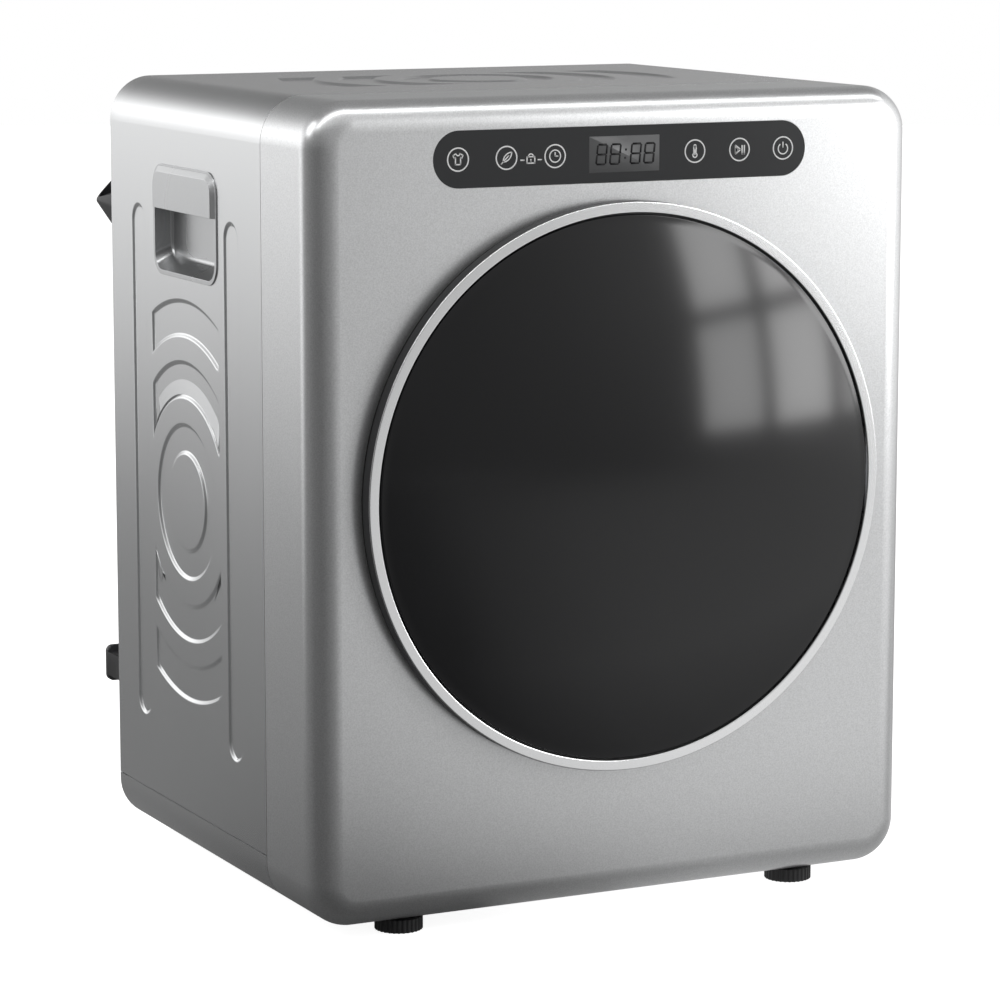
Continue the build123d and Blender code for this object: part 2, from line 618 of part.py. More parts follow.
# --- rear_panel ------------------------------------------------------------------------
GLAND_Z = Z_BASE + GLAND_HEIGHT
GRILLE_Z = Z_DOOR + (HEATER_RISE[0] + HEATER_RISE[1]) / 2
with BuildPart() as rear_panel:
    with BuildSketch(facing_front(BACK_AT, 0, Z_MID)) as plate:
        RectangleRounded(WIDTH - 2 * (SHEET + FIT), BODY_HEIGHT - 2 * (SHEET + FIT), CORNER_R - SHEET)
        with Locations((0, GRILLE_Z - Z_MID)):
            with GridLocations(*INLET_GRID):
                SlotOverall(*INLET_SLOT, mode=Mode.SUBTRACT)
        with Locations((EXHAUST_X, Z_EXHAUST - Z_MID)):
            Circle(COLLAR_R + FIT, mode=Mode.SUBTRACT)
        with Locations((GLAND_X, GLAND_Z - Z_MID)):
            Circle(GLAND_R + RUNNING, mode=Mode.SUBTRACT)
        with Locations([(x, z - Z_MID) for x, z in REAR_SCREWS + COLLAR_SCREWS]):
            Circle(SCREW_R + RUNNING, mode=Mode.SUBTRACT)
        with Locations((0, Z_DOOR - Z_MID - VENT_DROP)):
            with GridLocations(*VENT_GRID):
                SlotOverall(*VENT_SLOT, mode=Mode.SUBTRACT)
    extrude(plate.sketch, amount=-SHEET)
rear_panel.part.label = "rear_panel"
export_step(rear_panel.part, "parts/rear_panel.step")

# --- front_bulkhead: plate and stepped throat behind the front --------------------------
BULKHEAD_END = BULKHEAD_AT + THROAT_WALL
THROAT_IN_R = NECK_R - THROAT_WALL
THROAT_OUT_R = THROAT_MOUTH_R + THROAT_WALL
FLANGE_OUT_R = OPENING_R - FIT
SWITCH_Z = Z_DOOR + SWITCH_RISE
SLOT_HALF = FILTER_HALF + FILTER_SIDE
PLATE_TOP = Z_TOP - BULKHEAD_TOP


def striker_slot(run):
    """Cut the slot that the door's striker enters."""
    outer, inner, ends = STRIKER_CLEAR
    block(
        (-STRIKER_X - STRIKER_T / 2 - outer, -STRIKER_X + STRIKER_T / 2 + inner),
        run,
        (Z_DOOR - STRIKER_HALF - ends, Z_DOOR + STRIKER_HALF + ends),
        Mode.SUBTRACT,
    )


with BuildPart() as front_bulkhead:
    with BuildSketch(facing_front(BULKHEAD_AT, 0, (TRAY_TOP + PLATE_TOP) / 2)) as plate:
        RectangleRounded(2 * (SIDE_X - BULKHEAD_SIDE), PLATE_TOP - TRAY_TOP, BULKHEAD_CORNER)
    extrude(plate.sketch, amount=-THROAT_WALL)
    tube((0, THROAT_OUT_R), (BULKHEAD_AT - 1, BULKHEAD_END + 1), mode=Mode.SUBTRACT)
    turned(
        [
            (THROAT_MOUTH_R, 0),
            (FLANGE_OUT_R, 0),
            (FLANGE_OUT_R, PANEL_WALL),
            (THROAT_OUT_R, PANEL_WALL),
            (THROAT_OUT_R, BULKHEAD_END),
            (NECK_R, BULKHEAD_END),
            (NECK_R, NECK_END),
            (THROAT_IN_R, NECK_END),
            (THROAT_IN_R, BULKHEAD_AT),
            (THROAT_MOUTH_R, BULKHEAD_AT),
        ]
    )
    block(
        (-SLOT_HALF, SLOT_HALF),
        (FILTER_AT[0] - FILTER_SLACK, FILTER_AT[1] + FILTER_SLACK),
        (Z_DOOR - NECK_R - 1, Z_DOOR - radius_at(SLOT_HALF, THROAT_IN_R) + FILTER_SIDE),
        Mode.SUBTRACT,
    )
    striker_slot((-1, PANEL_WALL + 1))
    tube((0, PLUNGER_R + FIT), (-1, PANEL_WALL + 1), SWITCH_X, SWITCH_Z, Mode.SUBTRACT)
    for boss_x, boss_z in BOSS_PLACES:
        tube((0, SCREW_R), (BULKHEAD_AT - 1, BULKHEAD_END + 1), boss_x, boss_z, Mode.SUBTRACT)
front_bulkhead.part.label = "front_bulkhead"
export_step(front_bulkhead.part, "parts/front_bulkhead.step")

# --- door_seal: rubber ring that the closed door lies against ---------------------------
FRAME_BACK = -(RING_STANDOFF + RING_WALL)
with BuildPart() as door_seal:
    tube(SEAL_R, (FRAME_BACK + FIT, 0))
door_seal.part.label = "door_seal"
export_step(door_seal.part, "parts/door_seal.step")

# --- door: ring, lens, inner frame and bowl ----------------------------------------------
NOTCH_HALF = TONGUES[0][1] + 1
FRAME_FRONT = FRAME_BACK - FRAME_PLATE
LENS_EDGE = -(RING_PROUD - LENS_SETBACK)
LENS_APEX = LENS_EDGE - DOME_RISE
NOTCH_Z = (Z_DOOR - NOTCH_HALF, Z_DOOR + NOTCH_HALF)
with BuildPart() as door_ring:
    tube((RING_BORE, RING_R), (-RING_PROUD, -RING_STANDOFF))
    chamfer(door_ring.edges().group_by(Axis.Y)[0], RING_EDGE)
    tube((RING_BORE + RING_WALL, RING_R - RING_WALL), (-RING_PROUD + RING_WALL, 0), mode=Mode.SUBTRACT)
    block((HINGE_X - RING_POCKET, RING_R + 1), (-RING_PROUD + RING_SKIN, 0), NOTCH_Z, Mode.SUBTRACT)
door_ring.part.label = "door_ring"
export_step(door_ring.part, "parts/door_ring.step")


def dome_depth(r, rise, edge_r, apex):
    """Depth of a dome's surface at radius r, for a dome that rises over edge_r."""
    sphere = (edge_r**2 + rise**2) / (2 * rise)
    return apex + sphere - sqrt(sphere**2 - r**2)


def dome_arc(edge_r, apex):
    """Arc of the dome's section from its crown out to edge_r."""
    points = [(r, dome_depth(r, DOME_RISE, LENS_R, apex)) for r in (0, edge_r / 2, edge_r)]
    ThreePointArc(*points)
    return points


with BuildPart() as door_lens:
    with BuildSketch(level(Z_DOOR)) as section:
        with BuildLine():
            outer = dome_arc(LENS_R, LENS_APEX)
            inner = dome_arc(LENS_R - LENS_WALL, LENS_APEX + LENS_WALL)
            Polyline(outer[-1], (LENS_R, FRAME_FRONT), (LENS_R - LENS_WALL, FRAME_FRONT), inner[-1])
            Line(inner[0], outer[0])
        make_face()
    revolve(section.sketch, axis=Axis((0, Y_FACE, Z_DOOR), (0, 1, 0)))
door_lens.part.label = "door_lens"
export_step(door_lens.part, "parts/door_lens.step")

LEAF_AT = (FRAME_BACK - LEAF_T, FRAME_BACK)
LEAF_Z = (Z_DOOR - MOVING_HALF, Z_DOOR + MOVING_HALF)
with BuildPart() as door_inner_frame:
    tube((FRAME_BORE, RING_BORE), (FRAME_FRONT, FRAME_BACK))
    tube((SPIGOT_R - SPIGOT_WALL, SPIGOT_R), (FRAME_BACK, SPIGOT_END))
    block((HINGE_X - LEAF_POCKET, RING_R), (FRAME_FRONT - 1, FRAME_BACK + 1), NOTCH_Z, Mode.SUBTRACT)
    block((SPIGOT_R, RING_R), (LEAF_AT[0], FRAME_BACK + 1), (LEAF_Z[0] - FIT, LEAF_Z[1] + FIT), Mode.SUBTRACT)
door_inner_frame.part.label = "door_inner_frame"
export_step(door_inner_frame.part, "parts/door_inner_frame.step")

BOWL_RIM_R = SPIGOT_R - SPIGOT_WALL - RUNNING
BOWL_HEEL_AT = BOWL_DEPTH - BOWL_HEEL
with BuildPart() as door_bowl:
    turned(
        [
            (FRAME_BORE - BOWL_HEEL, BOWL_SEAT),
            (BOWL_RIM_R, BOWL_SEAT),
            (BOWL_RIM_R, BOWL_SEAT + BOWL_WALL),
            (FRAME_BORE, BOWL_SEAT + BOWL_WALL),
            (BOWL_FLAT_R, BOWL_HEEL_AT),
            (0, BOWL_DEPTH),
            (0, BOWL_DEPTH - BOWL_WALL),
            (BOWL_FLAT_R - BOWL_WALL, BOWL_HEEL_AT - BOWL_WALL),
        ]
    )
    rounds = door_bowl.edges().filter_by(GeomType.CIRCLE)
    fillet(rounds.filter_by(lambda e: abs(e.radius - BOWL_FLAT_R) <= BOWL_WALL), BOWL_FILLET)
door_bowl.part.label = "door_bowl"
export_step(door_bowl.part, "parts/door_bowl.step")

with BuildPart() as door_striker:
    block(
        (-STRIKER_X - STRIKER_T / 2, -STRIKER_X + STRIKER_T / 2),
        (FRAME_BACK, STRIKER_END),
        (Z_DOOR - STRIKER_HALF, Z_DOOR + STRIKER_HALF),
    )
    block(
        (-STRIKER_X - STRIKER_T / 2, -STRIKER_X + STRIKER_T / 2),
        STRIKER_WINDOW,
        (Z_DOOR - STRIKER_HALF + STRIKER_T, Z_DOOR + STRIKER_HALF - STRIKER_T),
        Mode.SUBTRACT,
    )
door_striker.part.label = "door_striker"
export_step(door_striker.part, "parts/door_striker.step")

# --- hinge: fixed bracket, pin and the door's leaf ---------------------------------------
with BuildPart() as hinge_bracket:
    plate_x = (HINGE_X - KNUCKLE_R, SIDE_X - FACE_FILLET - FIT)
    plate_z = (Z_DOOR + TONGUES[1][0] - HINGE_MARGIN, Z_DOOR + TONGUES[0][1] + HINGE_MARGIN)
    block(plate_x, (PANEL_WALL, PANEL_WALL + HINGE_PLATE), plate_z)
    for low, high in TONGUES:
        knuckle_z = (Z_DOOR + low, Z_DOOR + high)
        block(
            (HINGE_X - TONGUE_T / 2, HINGE_X + TONGUE_T / 2),
            (-HINGE_PROUD, PANEL_WALL + HINGE_PLATE),
            knuckle_z,
        )
        post(KNUCKLE_R, knuckle_z, HINGE_X, -HINGE_PROUD)
        post(PIN_R + SEAT_GAP, knuckle_z, HINGE_X, -HINGE_PROUD, Mode.SUBTRACT)
hinge_bracket.part.label = "hinge_bracket"
export_step(hinge_bracket.part, "parts/hinge_bracket.step")

with BuildPart() as hinge_pin:
    post(PIN_R, (Z_DOOR + TONGUES[1][0], Z_DOOR + TONGUES[0][1]), HINGE_X, -HINGE_PROUD)
hinge_pin.part.label = "hinge_pin"
export_step(hinge_pin.part, "parts/hinge_pin.step")

with BuildPart() as hinge_leaf:
    block((SPIGOT_R + FIT, HINGE_X + PIN_R), LEAF_AT, LEAF_Z)
    post(KNUCKLE_R, LEAF_Z, HINGE_X, -HINGE_PROUD)
    post(PIN_R + RUNNING, LEAF_Z, HINGE_X, -HINGE_PROUD, Mode.SUBTRACT)
hinge_leaf.part.label = "hinge_leaf"
export_step(hinge_leaf.part, "parts/hinge_leaf.step")

# --- door_catch and door_switch ----------------------------------------------------------
with BuildPart() as door_catch:
    catch_z = (Z_DOOR - CATCH_HALF, Z_DOOR + CATCH_HALF)
    block((-CATCH_X, -THROAT_OUT_R - FIT), (PANEL_WALL, CATCH_END), catch_z)
    striker_slot((PANEL_WALL - 1, CATCH_END - CATCH_WALL))
door_catch.part.label = "door_catch"
export_step(door_catch.part, "parts/door_catch.step")

with BuildPart() as door_switch:
    switch_x = (SWITCH_X - SWITCH_SIDES[0], SWITCH_X + SWITCH_SIDES[1])
    block(switch_x, (PANEL_WALL, SWITCH_END), (SWITCH_Z - SWITCH_HALF, SWITCH_Z + SWITCH_HALF))
    tube((0, PLUNGER_R + RUNNING), (0, PLUNGER_IN + SWITCH_TRAVEL), SWITCH_X, SWITCH_Z, Mode.SUBTRACT)
door_switch.part.label = "door_switch"
export_step(door_switch.part, "parts/door_switch.step")

with BuildPart() as switch_plunger:
    tube((0, PLUNGER_R), (FRAME_BACK + FIT, PLUNGER_IN), SWITCH_X, SWITCH_Z)
    fillet(switch_plunger.edges().group_by(Axis.Y)[0], 0.8)
switch_plunger.part.label = "switch_plunger"
export_step(switch_plunger.part, "parts/switch_plunger.step")

# --- control panel: touch lens, board, display, pads and housing --------------------------
with BuildPart() as control_lens:
    with BuildSketch(facing_front(PILL_POCKET - LENS_SLAB, 0, Z_PILL)) as pill:
        SlotOverall(PILL_LENGTH - 2 * LENS_SLACK, PILL_HEIGHT - 2 * LENS_SLACK)
    extrude(pill.sketch, amount=-LENS_SLAB)
    chamfer(control_lens.faces().sort_by(Axis.Y)[0].edges(), LENS_EDGE_CUT)
control_lens.part.label = "control_lens"
export_step(control_lens.part, "parts/control_lens.step")

HOUSING_HALF = PILL_LENGTH / 2 + HOUSING_SIDE
HOUSING_RISE = Z_TOP - FACE_FILLET - FIT - Z_PILL   # stops where the front starts to roll
BOARD_HALF = HOUSING_HALF - HOUSING_WALL - BOARD_MARGIN
BOARD_RISE = HOUSING_RISE - HOUSING_WALL - FIT
STAND_OFFS = [(x, Z_PILL + z) for x in STAND_OFF_X for z in (-STAND_OFF_RISE, STAND_OFF_RISE)]
with BuildPart() as control_housing:
    with BuildSketch(facing_front(PANEL_WALL, 0, Z_PILL)) as tray:
        RectangleRounded(2 * HOUSING_HALF, 2 * HOUSING_RISE, HOUSING_R)
    extrude(tray.sketch, amount=-(HOUSING_END - PANEL_WALL))
    with BuildSketch(facing_front(PANEL_WALL, 0, Z_PILL)) as tray_inside:
        inside = (2 * (HOUSING_HALF - HOUSING_WALL), 2 * (HOUSING_RISE - HOUSING_WALL))
        RectangleRounded(*inside, HOUSING_R - HOUSING_WALL)
    extrude(tray_inside.sketch, amount=-(HOUSING_END - PANEL_WALL - HOUSING_WALL), mode=Mode.SUBTRACT)
    for stand_x, stand_z in STAND_OFFS:
        tube((0, STAND_OFF_R), (BOARD_AT + BOARD_T, HOUSING_END - 1), stand_x, stand_z)
control_housing.part.label = "control_housing"
export_step(control_housing.part, "parts/control_housing.step")

with BuildPart() as control_board:
    board_back = BOARD_AT + BOARD_T
    block((-BOARD_HALF, BOARD_HALF), (BOARD_AT, board_back), (Z_PILL - BOARD_RISE, Z_PILL + BOARD_RISE))
    for x, half in BOARD_PARTS:
        part_z = (Z_PILL - BOARD_PART[1], Z_PILL + BOARD_PART[1])
        block((x - half, x + half), (board_back, board_back + BOARD_PART[0]), part_z)
control_board.part.label = "control_board"
export_step(control_board.part, "parts/control_board.step")

with BuildPart() as display_module:
    block(
        (DISPLAY_X - DISPLAY[0] / 2, DISPLAY_X + DISPLAY[0] / 2),
        (PILL_POCKET + FIT, BOARD_AT),
        (Z_PILL - DISPLAY[1] / 2, Z_PILL + DISPLAY[1] / 2),
    )
display_module.part.label = "display_module"
export_step(display_module.part, "parts/display_module.step")

with BuildPart() as touch_pads:
    for key_x in KEYS:
        tube((0, PAD_R), (PILL_POCKET + FIT, BOARD_AT), key_x, Z_PILL)
touch_pads.part.label = "touch_pads"
export_step(touch_pads.part, "parts/touch_pads.step")

# --- drum --------------------------------------------------------------------------------
with BuildPart() as drum_shell:
    turned(
        [
            (DRUM_NECK_R, DRUM_NECK_AT),
            (DRUM_NECK_R + DRUM_SHEET, DRUM_NECK_AT),
            (DRUM_NECK_R + DRUM_SHEET, DRUM_FACE_AT),
            (DRUM_R, DRUM_FACE_AT),
            (DRUM_R, DRUM_END),
            (DRUM_CLEAR_R, DRUM_END),
            (DRUM_CLEAR_R, DRUM_FACE_AT + DRUM_SHEET),
            (DRUM_NECK_R, DRUM_FACE_AT + DRUM_SHEET),
        ]
    )
drum_shell.part.label = "drum_shell"
export_step(drum_shell.part, "parts/drum_shell.step")

with BuildPart() as drum_back:
    with BuildSketch(facing_front(DRUM_BACK_AT, 0, Z_DOOR)) as disc:
        Circle(DRUM_CLEAR_R)
        for ring_r, holes in BACK_HOLES:
            with PolarLocations(ring_r, holes):
                Circle(BACK_HOLE_R, mode=Mode.SUBTRACT)
    extrude(disc.sketch, amount=-DRUM_SHEET)
drum_back.part.label = "drum_back"
export_step(drum_back.part, "parts/drum_back.step")

with BuildPart() as drum_lifters:
    with BuildSketch() as vane:
        Trapezoid(LIFTER_BASE, LIFTER_HEIGHT + LIFTER_ROOT, LIFTER_SLOPE)
        fillet(vane.vertices().group_by(Axis.Y)[-1], LIFTER_CREST_R)
    with BuildSketch(facing_front(LIFTER_RUN[0], 0, Z_DOOR)) as vanes:
        with PolarLocations(DRUM_CLEAR_R - LIFTER_HEIGHT / 2, 3, start_angle=90):
            add(vane.sketch, rotation=90)
        Circle(DRUM_CLEAR_R - RUNNING, mode=Mode.INTERSECT)
    extrude(vanes.sketch, amount=-(LIFTER_RUN[1] - LIFTER_RUN[0]))
drum_lifters.part.label = "drum_lifters"
export_step(drum_lifters.part, "parts/drum_lifters.step")

DRUM_BACK_END = DRUM_BACK_AT + DRUM_SHEET
with BuildPart() as drum_shaft:
    tube((0, SHAFT_PLATE[0]), (DRUM_BACK_END, DRUM_BACK_END + SHAFT_PLATE[1]))
    tube((0, DRUM_SHAFT_R), (DRUM_BACK_END + 1, REAR_BULKHEAD_AT + SHAFT_BEYOND))
    chamfer(drum_shaft.edges().group_by(Axis.Y)[-1], 1)
drum_shaft.part.label = "drum_shaft"
export_step(drum_shaft.part, "parts/drum_shaft.step")

with BuildPart() as drum_felts:
    tube((NECK_R, DRUM_NECK_R - FIT), (DRUM_NECK_AT, DRUM_FACE_AT - 1))
    tube(FELT_R, (DRUM_BACK_END + FIT, REAR_BULKHEAD_AT))
drum_felts.part.label = "drum_felts"
export_step(drum_felts.part, "parts/drum_felts.step")

# --- rear_bulkhead and bearing -------------------------------------------------------------
DUCT_LOW = TRAY_TOP
DUCT_HIGH = DUCT_LOW + CHANNEL_HIGH
HEATER_Z = (Z_DOOR + HEATER_RISE[0], Z_DOOR + HEATER_RISE[1])
BULKHEAD_Z = (PAN_FLOOR, Z_TOP - SHEET - EMBOSS - FIT)
HEATER_START = REAR_BULKHEAD_AT + BULKHEAD_SHEET
with BuildPart() as rear_bulkhead:
    with BuildSketch(facing_front(REAR_BULKHEAD_AT, 0, sum(BULKHEAD_Z) / 2)) as plate:
        RectangleRounded(2 * INNER_X, BULKHEAD_Z[1] - BULKHEAD_Z[0], CORNER_R)
    extrude(plate.sketch, amount=-BULKHEAD_FLANGE)
    with BuildSketch(facing_front(HEATER_START, 0, sum(BULKHEAD_Z) / 2)) as hollow:
        RectangleRounded(
            2 * (INNER_X - BULKHEAD_SHEET),
            BULKHEAD_Z[1] - BULKHEAD_Z[0] - 2 * BULKHEAD_SHEET,
            CORNER_R - BULKHEAD_SHEET,
        )
    extrude(hollow.sketch, amount=-BULKHEAD_FLANGE, mode=Mode.SUBTRACT)
    through = (REAR_BULKHEAD_AT - 1, REAR_BULKHEAD_AT + BULKHEAD_FLANGE + 1)
    tube((0, BEARING_R + RUNNING), through, mode=Mode.SUBTRACT)
    heater_x = (-HEATER_HALF + HEATER_RIM, HEATER_HALF - HEATER_RIM)
    block(heater_x, through, (HEATER_Z[0] + HEATER_RIM, HEATER_Z[1] - HEATER_RIM), Mode.SUBTRACT)
    block((CHANNEL[0] - 1, CHANNEL[1] + 1), through, (PAN_FLOOR - 1, DUCT_HIGH + 1), Mode.SUBTRACT)
    for side in (-1, 1):
        post(BOSS_R + FIT, (0, BOSS_TOP + FIT), side * FOOT_X, REAR_FOOT, Mode.SUBTRACT)
rear_bulkhead.part.label = "rear_bulkhead"
export_step(rear_bulkhead.part, "parts/rear_bulkhead.step")

with BuildPart() as drum_bearing:
    tube((DRUM_SHAFT_R + RUNNING, BEARING_R), [REAR_BULKHEAD_AT + end for end in BEARING_RUN])
    tube((BEARING_R - 1, BEARING_R + BEARING_FLANGE), (HEATER_START, HEATER_START + 2 * BULKHEAD_SHEET))
drum_bearing.part.label = "drum_bearing"
export_step(drum_bearing.part, "parts/drum_bearing.step")

# --- heater ----------------------------------------------------------------------------------
with BuildPart() as heater_housing:
    block((-HEATER_HALF, HEATER_HALF), (HEATER_START, BACK_AT - FIT), HEATER_Z)
    block(
        (-HEATER_HALF + HEATER_WALL, HEATER_HALF - HEATER_WALL),
        (HEATER_START - 1, BACK_AT),
        (HEATER_Z[0] + HEATER_WALL, HEATER_Z[1] - HEATER_WALL),
        Mode.SUBTRACT,
    )
heater_housing.part.label = "heater_housing"
export_step(heater_housing.part, "parts/heater_housing.step")

with BuildPart() as heater_element:
    fin_span = 2 * (HEATER_HALF - HEATER_WALL - FIT - HEATER_END_CAP)
    heater_side = HEATER_HALF - HEATER_WALL - FIT
    heater_rise = (HEATER_Z[0] + HEATER_WALL + FIT, HEATER_Z[1] - HEATER_WALL - FIT)
    with BuildSketch(facing_front(HEATER_START + HEATER_BLOCK[0], 0, sum(HEATER_Z) / 2)) as grid:
        Rectangle(2 * heater_side, heater_rise[1] - heater_rise[0])
        with GridLocations(fin_span / FIN_COUNT, FIN_PITCH, FIN_COUNT, FIN_ROWS):
            Rectangle(fin_span / FIN_COUNT - FIN_T, FIN_CELL, mode=Mode.SUBTRACT)
    extrude(grid.sketch, amount=-(HEATER_BLOCK[1] - HEATER_BLOCK[0]))
heater_element.part.label = "heater_element"
export_step(heater_element.part, "parts/heater_element.step")

THERMOSTAT_AT = HEATER_START + sum(HEATER_BLOCK) / 2
with BuildPart() as thermostats:
    cap_r, cap_height, ear, base_t = THERMOSTAT
    for x in (-THERMOSTAT_X, THERMOSTAT_X):
        post(cap_r, (HEATER_Z[1], HEATER_Z[1] + cap_height), x, THERMOSTAT_AT)
        base_run = (THERMOSTAT_AT - cap_r, THERMOSTAT_AT + cap_r)
        block((x - ear, x + ear), base_run, (HEATER_Z[1], HEATER_Z[1] + base_t))
thermostats.part.label = "thermostats"
export_step(thermostats.part, "parts/thermostats.step")

# --- exhaust: channel under the drum, rising to a round collar at the back ---------------
CHANNEL_MID = (CHANNEL[0] + CHANNEL[1]) / 2
RISE_START = REAR_BULKHEAD_AT + RISE_RUN[0]
RISE_END = BACK_AT - RISE_RUN[1]


def exhaust_form(inset, start, blower_end, rise_end):
    """Solid form of the exhaust duct, drawn in by inset."""
    low, high = DUCT_LOW + inset, DUCT_HIGH - inset
    with BuildPart() as form:
        block((CHANNEL[0] + inset, CHANNEL[1] - inset), (start, RISE_START), (low, high))
        block((CHANNEL[0] + inset, blower_end), (BLOWER_RUN[0] + inset, BLOWER_RUN[1] - inset), (low, high))
        with BuildSketch(facing_front(RISE_START, CHANNEL_MID, (low + high) / 2)):
            RectangleRounded(CHANNEL[1] - CHANNEL[0] - 2 * inset, high - low, CHANNEL_R)
        with BuildSketch(facing_front(rise_end, EXHAUST_X, Z_EXHAUST)):
            Circle(COLLAR_R - COLLAR_WALL - inset)
        loft()
    return form.part


CHANNEL_MOUTH = MOTOR_X - BLOWER_R - OUTLET_GAP
exhaust_outside = exhaust_form(0, BLOWER_RUN[0], CHANNEL_MOUTH, RISE_END)
exhaust_inside = exhaust_form(DUCT_WALL, BLOWER_RUN[0] + DUCT_WALL, CHANNEL_MOUTH + 1, RISE_END)
with BuildPart() as exhaust_duct:
    add(exhaust_outside)
    add(exhaust_inside, mode=Mode.SUBTRACT)
    duct_bore = COLLAR_R - COLLAR_WALL - DUCT_WALL
    tube((0, duct_bore), (RISE_END - FIT, RISE_END + 1), EXHAUST_X, Z_EXHAUST, Mode.SUBTRACT)
exhaust_duct.part.label = "exhaust_duct"
export_step(exhaust_duct.part, "parts/exhaust_duct.step")

COLLAR_FACE = CABINET_DEPTH + COLLAR_FLANGE
with BuildPart() as exhaust_collar:
    tube((COLLAR_R - COLLAR_WALL, COLLAR_R), (RISE_END, CABINET_DEPTH + COLLAR_REACH), EXHAUST_X, Z_EXHAUST)
    tube((COLLAR_R - 1, COLLAR_R + COLLAR_RIM), (CABINET_DEPTH, COLLAR_FACE), EXHAUST_X, Z_EXHAUST)
    for x, z in COLLAR_SCREWS:
        tube((0, SCREW_R + RUNNING), (CABINET_DEPTH - 1, COLLAR_FACE + 1), x, z, Mode.SUBTRACT)
exhaust_collar.part.label = "exhaust_collar"
export_step(exhaust_collar.part, "parts/exhaust_collar.step")

# --- cord hooks and cord gland at the back -------------------------------------------------
SCOOP_LOW = Z_BASE + SCOOP_HEIGHTS[0]
SCOOP_TIP = Z_BASE + SCOOP_HEIGHTS[1]
LOW_HOOK_Z = (Z_BASE + LOW_HOOK[0], Z_BASE + LOW_HOOK[1])


MOUTH_RISE = tan(radians(SCOOP_TILT))
MOUTH_FALL = tan(radians(SCOOP_LEAN))
MOUTH_Z = SCOOP_TIP + MOUTH_RISE * SCOOP_R + MOUTH_FALL * HOOK_REACH
SCOOP_TOP = MOUTH_Z + MOUTH_RISE * SCOOP_R + 1


def funnel(shrink):
    """Funnel with a D shaped mouth and a straight upper part, flat against the back panel."""
    with BuildPart() as cone:
        for z, share in ((SCOOP_LOW, SCOOP_POINT), (SCOOP_TIP, 1), (SCOOP_TOP, 1)):
            with BuildSketch(level(z, HOOK_X, CABINET_DEPTH)):
                RectangleRounded(
                    2 * (SCOOP_R * share - shrink),
                    2 * (HOOK_REACH * share - shrink),
                    (SCOOP_CORNER - shrink) * share,
                )
                half_plane = (Align.CENTER, Align.MIN)
                Rectangle(4 * SCOOP_R, 4 * HOOK_REACH, align=half_plane, mode=Mode.INTERSECT)
        loft(ruled=True)
    return cone.part


scoop_outside = funnel(0)
scoop_inside = funnel(SCOOP_WALL)
with BuildPart() as cord_hooks:
    add(scoop_outside)
    add(scoop_inside, mode=Mode.SUBTRACT)
    mouth = Plane(
        origin=(HOOK_X, depth(CABINET_DEPTH), MOUTH_Z), z_dir=(-MOUTH_RISE, MOUTH_FALL, 1)
    )
    split(bisect_by=mouth, keep=Keep.BOTTOM)
    flange_at = CABINET_DEPTH + LOW_HOOK_REACH - LOW_HOOK_T
    flange_x = HOOK_X - SCOOP_R + LOW_HOOK_WIDTH / 2
    block(
        (HOOK_X - SCOOP_R, HOOK_X - SCOOP_R + LOW_HOOK_WIDTH),
        (CABINET_DEPTH, flange_at),
        (LOW_HOOK_Z[0] + LOW_HOOK_T, LOW_HOOK_Z[1] - LOW_HOOK_T),
    )
    with BuildSketch(facing_front(flange_at, flange_x, sum(LOW_HOOK_Z) / 2)) as flange:
        RectangleRounded(LOW_HOOK_WIDTH, LOW_HOOK_Z[1] - LOW_HOOK_Z[0], LOW_HOOK_T)
    extrude(flange.sketch, amount=-LOW_HOOK_T)
cord_hooks.part.label = "cord_hooks"
export_step(cord_hooks.part, "parts/cord_hooks.step")

with BuildPart() as cord_gland:
    tube((CORD_R, GLAND_R), (BACK_AT - GLAND_RUN, CABINET_DEPTH + GLAND_RUN), GLAND_X, GLAND_Z)
    tube((CORD_R, GLAND_FLANGE_R), (CABINET_DEPTH, CABINET_DEPTH + GLAND_RUN / 3), GLAND_X, GLAND_Z)
    tube((CORD_R, GLAND_FLANGE_R), (BACK_AT - GLAND_RUN / 3, BACK_AT), GLAND_X, GLAND_Z)
cord_gland.part.label = "cord_gland"
export_step(cord_gland.part, "parts/cord_gland.step")

# --- lint_filter in its slot, and the duct down to the blower -----------------------------
FILTER_TOP_R = THROAT_IN_R - 1.0
FILTER_Z = (FILTER_LOW, Z_DOOR - radius_at(FILTER_HALF, FILTER_TOP_R))
MULLION_HALF = 3.0
with BuildPart() as lint_filter:
    with BuildSketch(facing_front(FILTER_AT[0], 0, sum(FILTER_Z) / 2)) as frame:
        Rectangle(2 * FILTER_HALF, FILTER_Z[1] - FILTER_Z[0])
    extrude(frame.sketch, amount=-(FILTER_AT[1] - FILTER_AT[0]))
    tube((0, FILTER_TOP_R), (FILTER_AT[0] - 1, FILTER_AT[1] + 1), mode=Mode.SUBTRACT)
    window_z = (FILTER_LOW + MESH_BAR, Z_DOOR - FILTER_TOP_R - MESH_BAR)
    for x in (-1, 1):
        window_x = sorted((x * MULLION_HALF, x * (FILTER_HALF - MESH_BAR)))
        block(window_x, (FILTER_AT[0] - 1, FILTER_AT[1] + 1), window_z, Mode.SUBTRACT)
    with BuildSketch(facing_front(FILTER_AT[0] + 1, 0, Z_DOOR - FILTER_TOP_R + TAB[2])) as tab:
        RectangleRounded(*TAB)
    extrude(tab.sketch, amount=-(FILTER_AT[1] - FILTER_AT[0] - 2))
lint_filter.part.label = "lint_filter"
export_step(lint_filter.part, "parts/lint_filter.step")

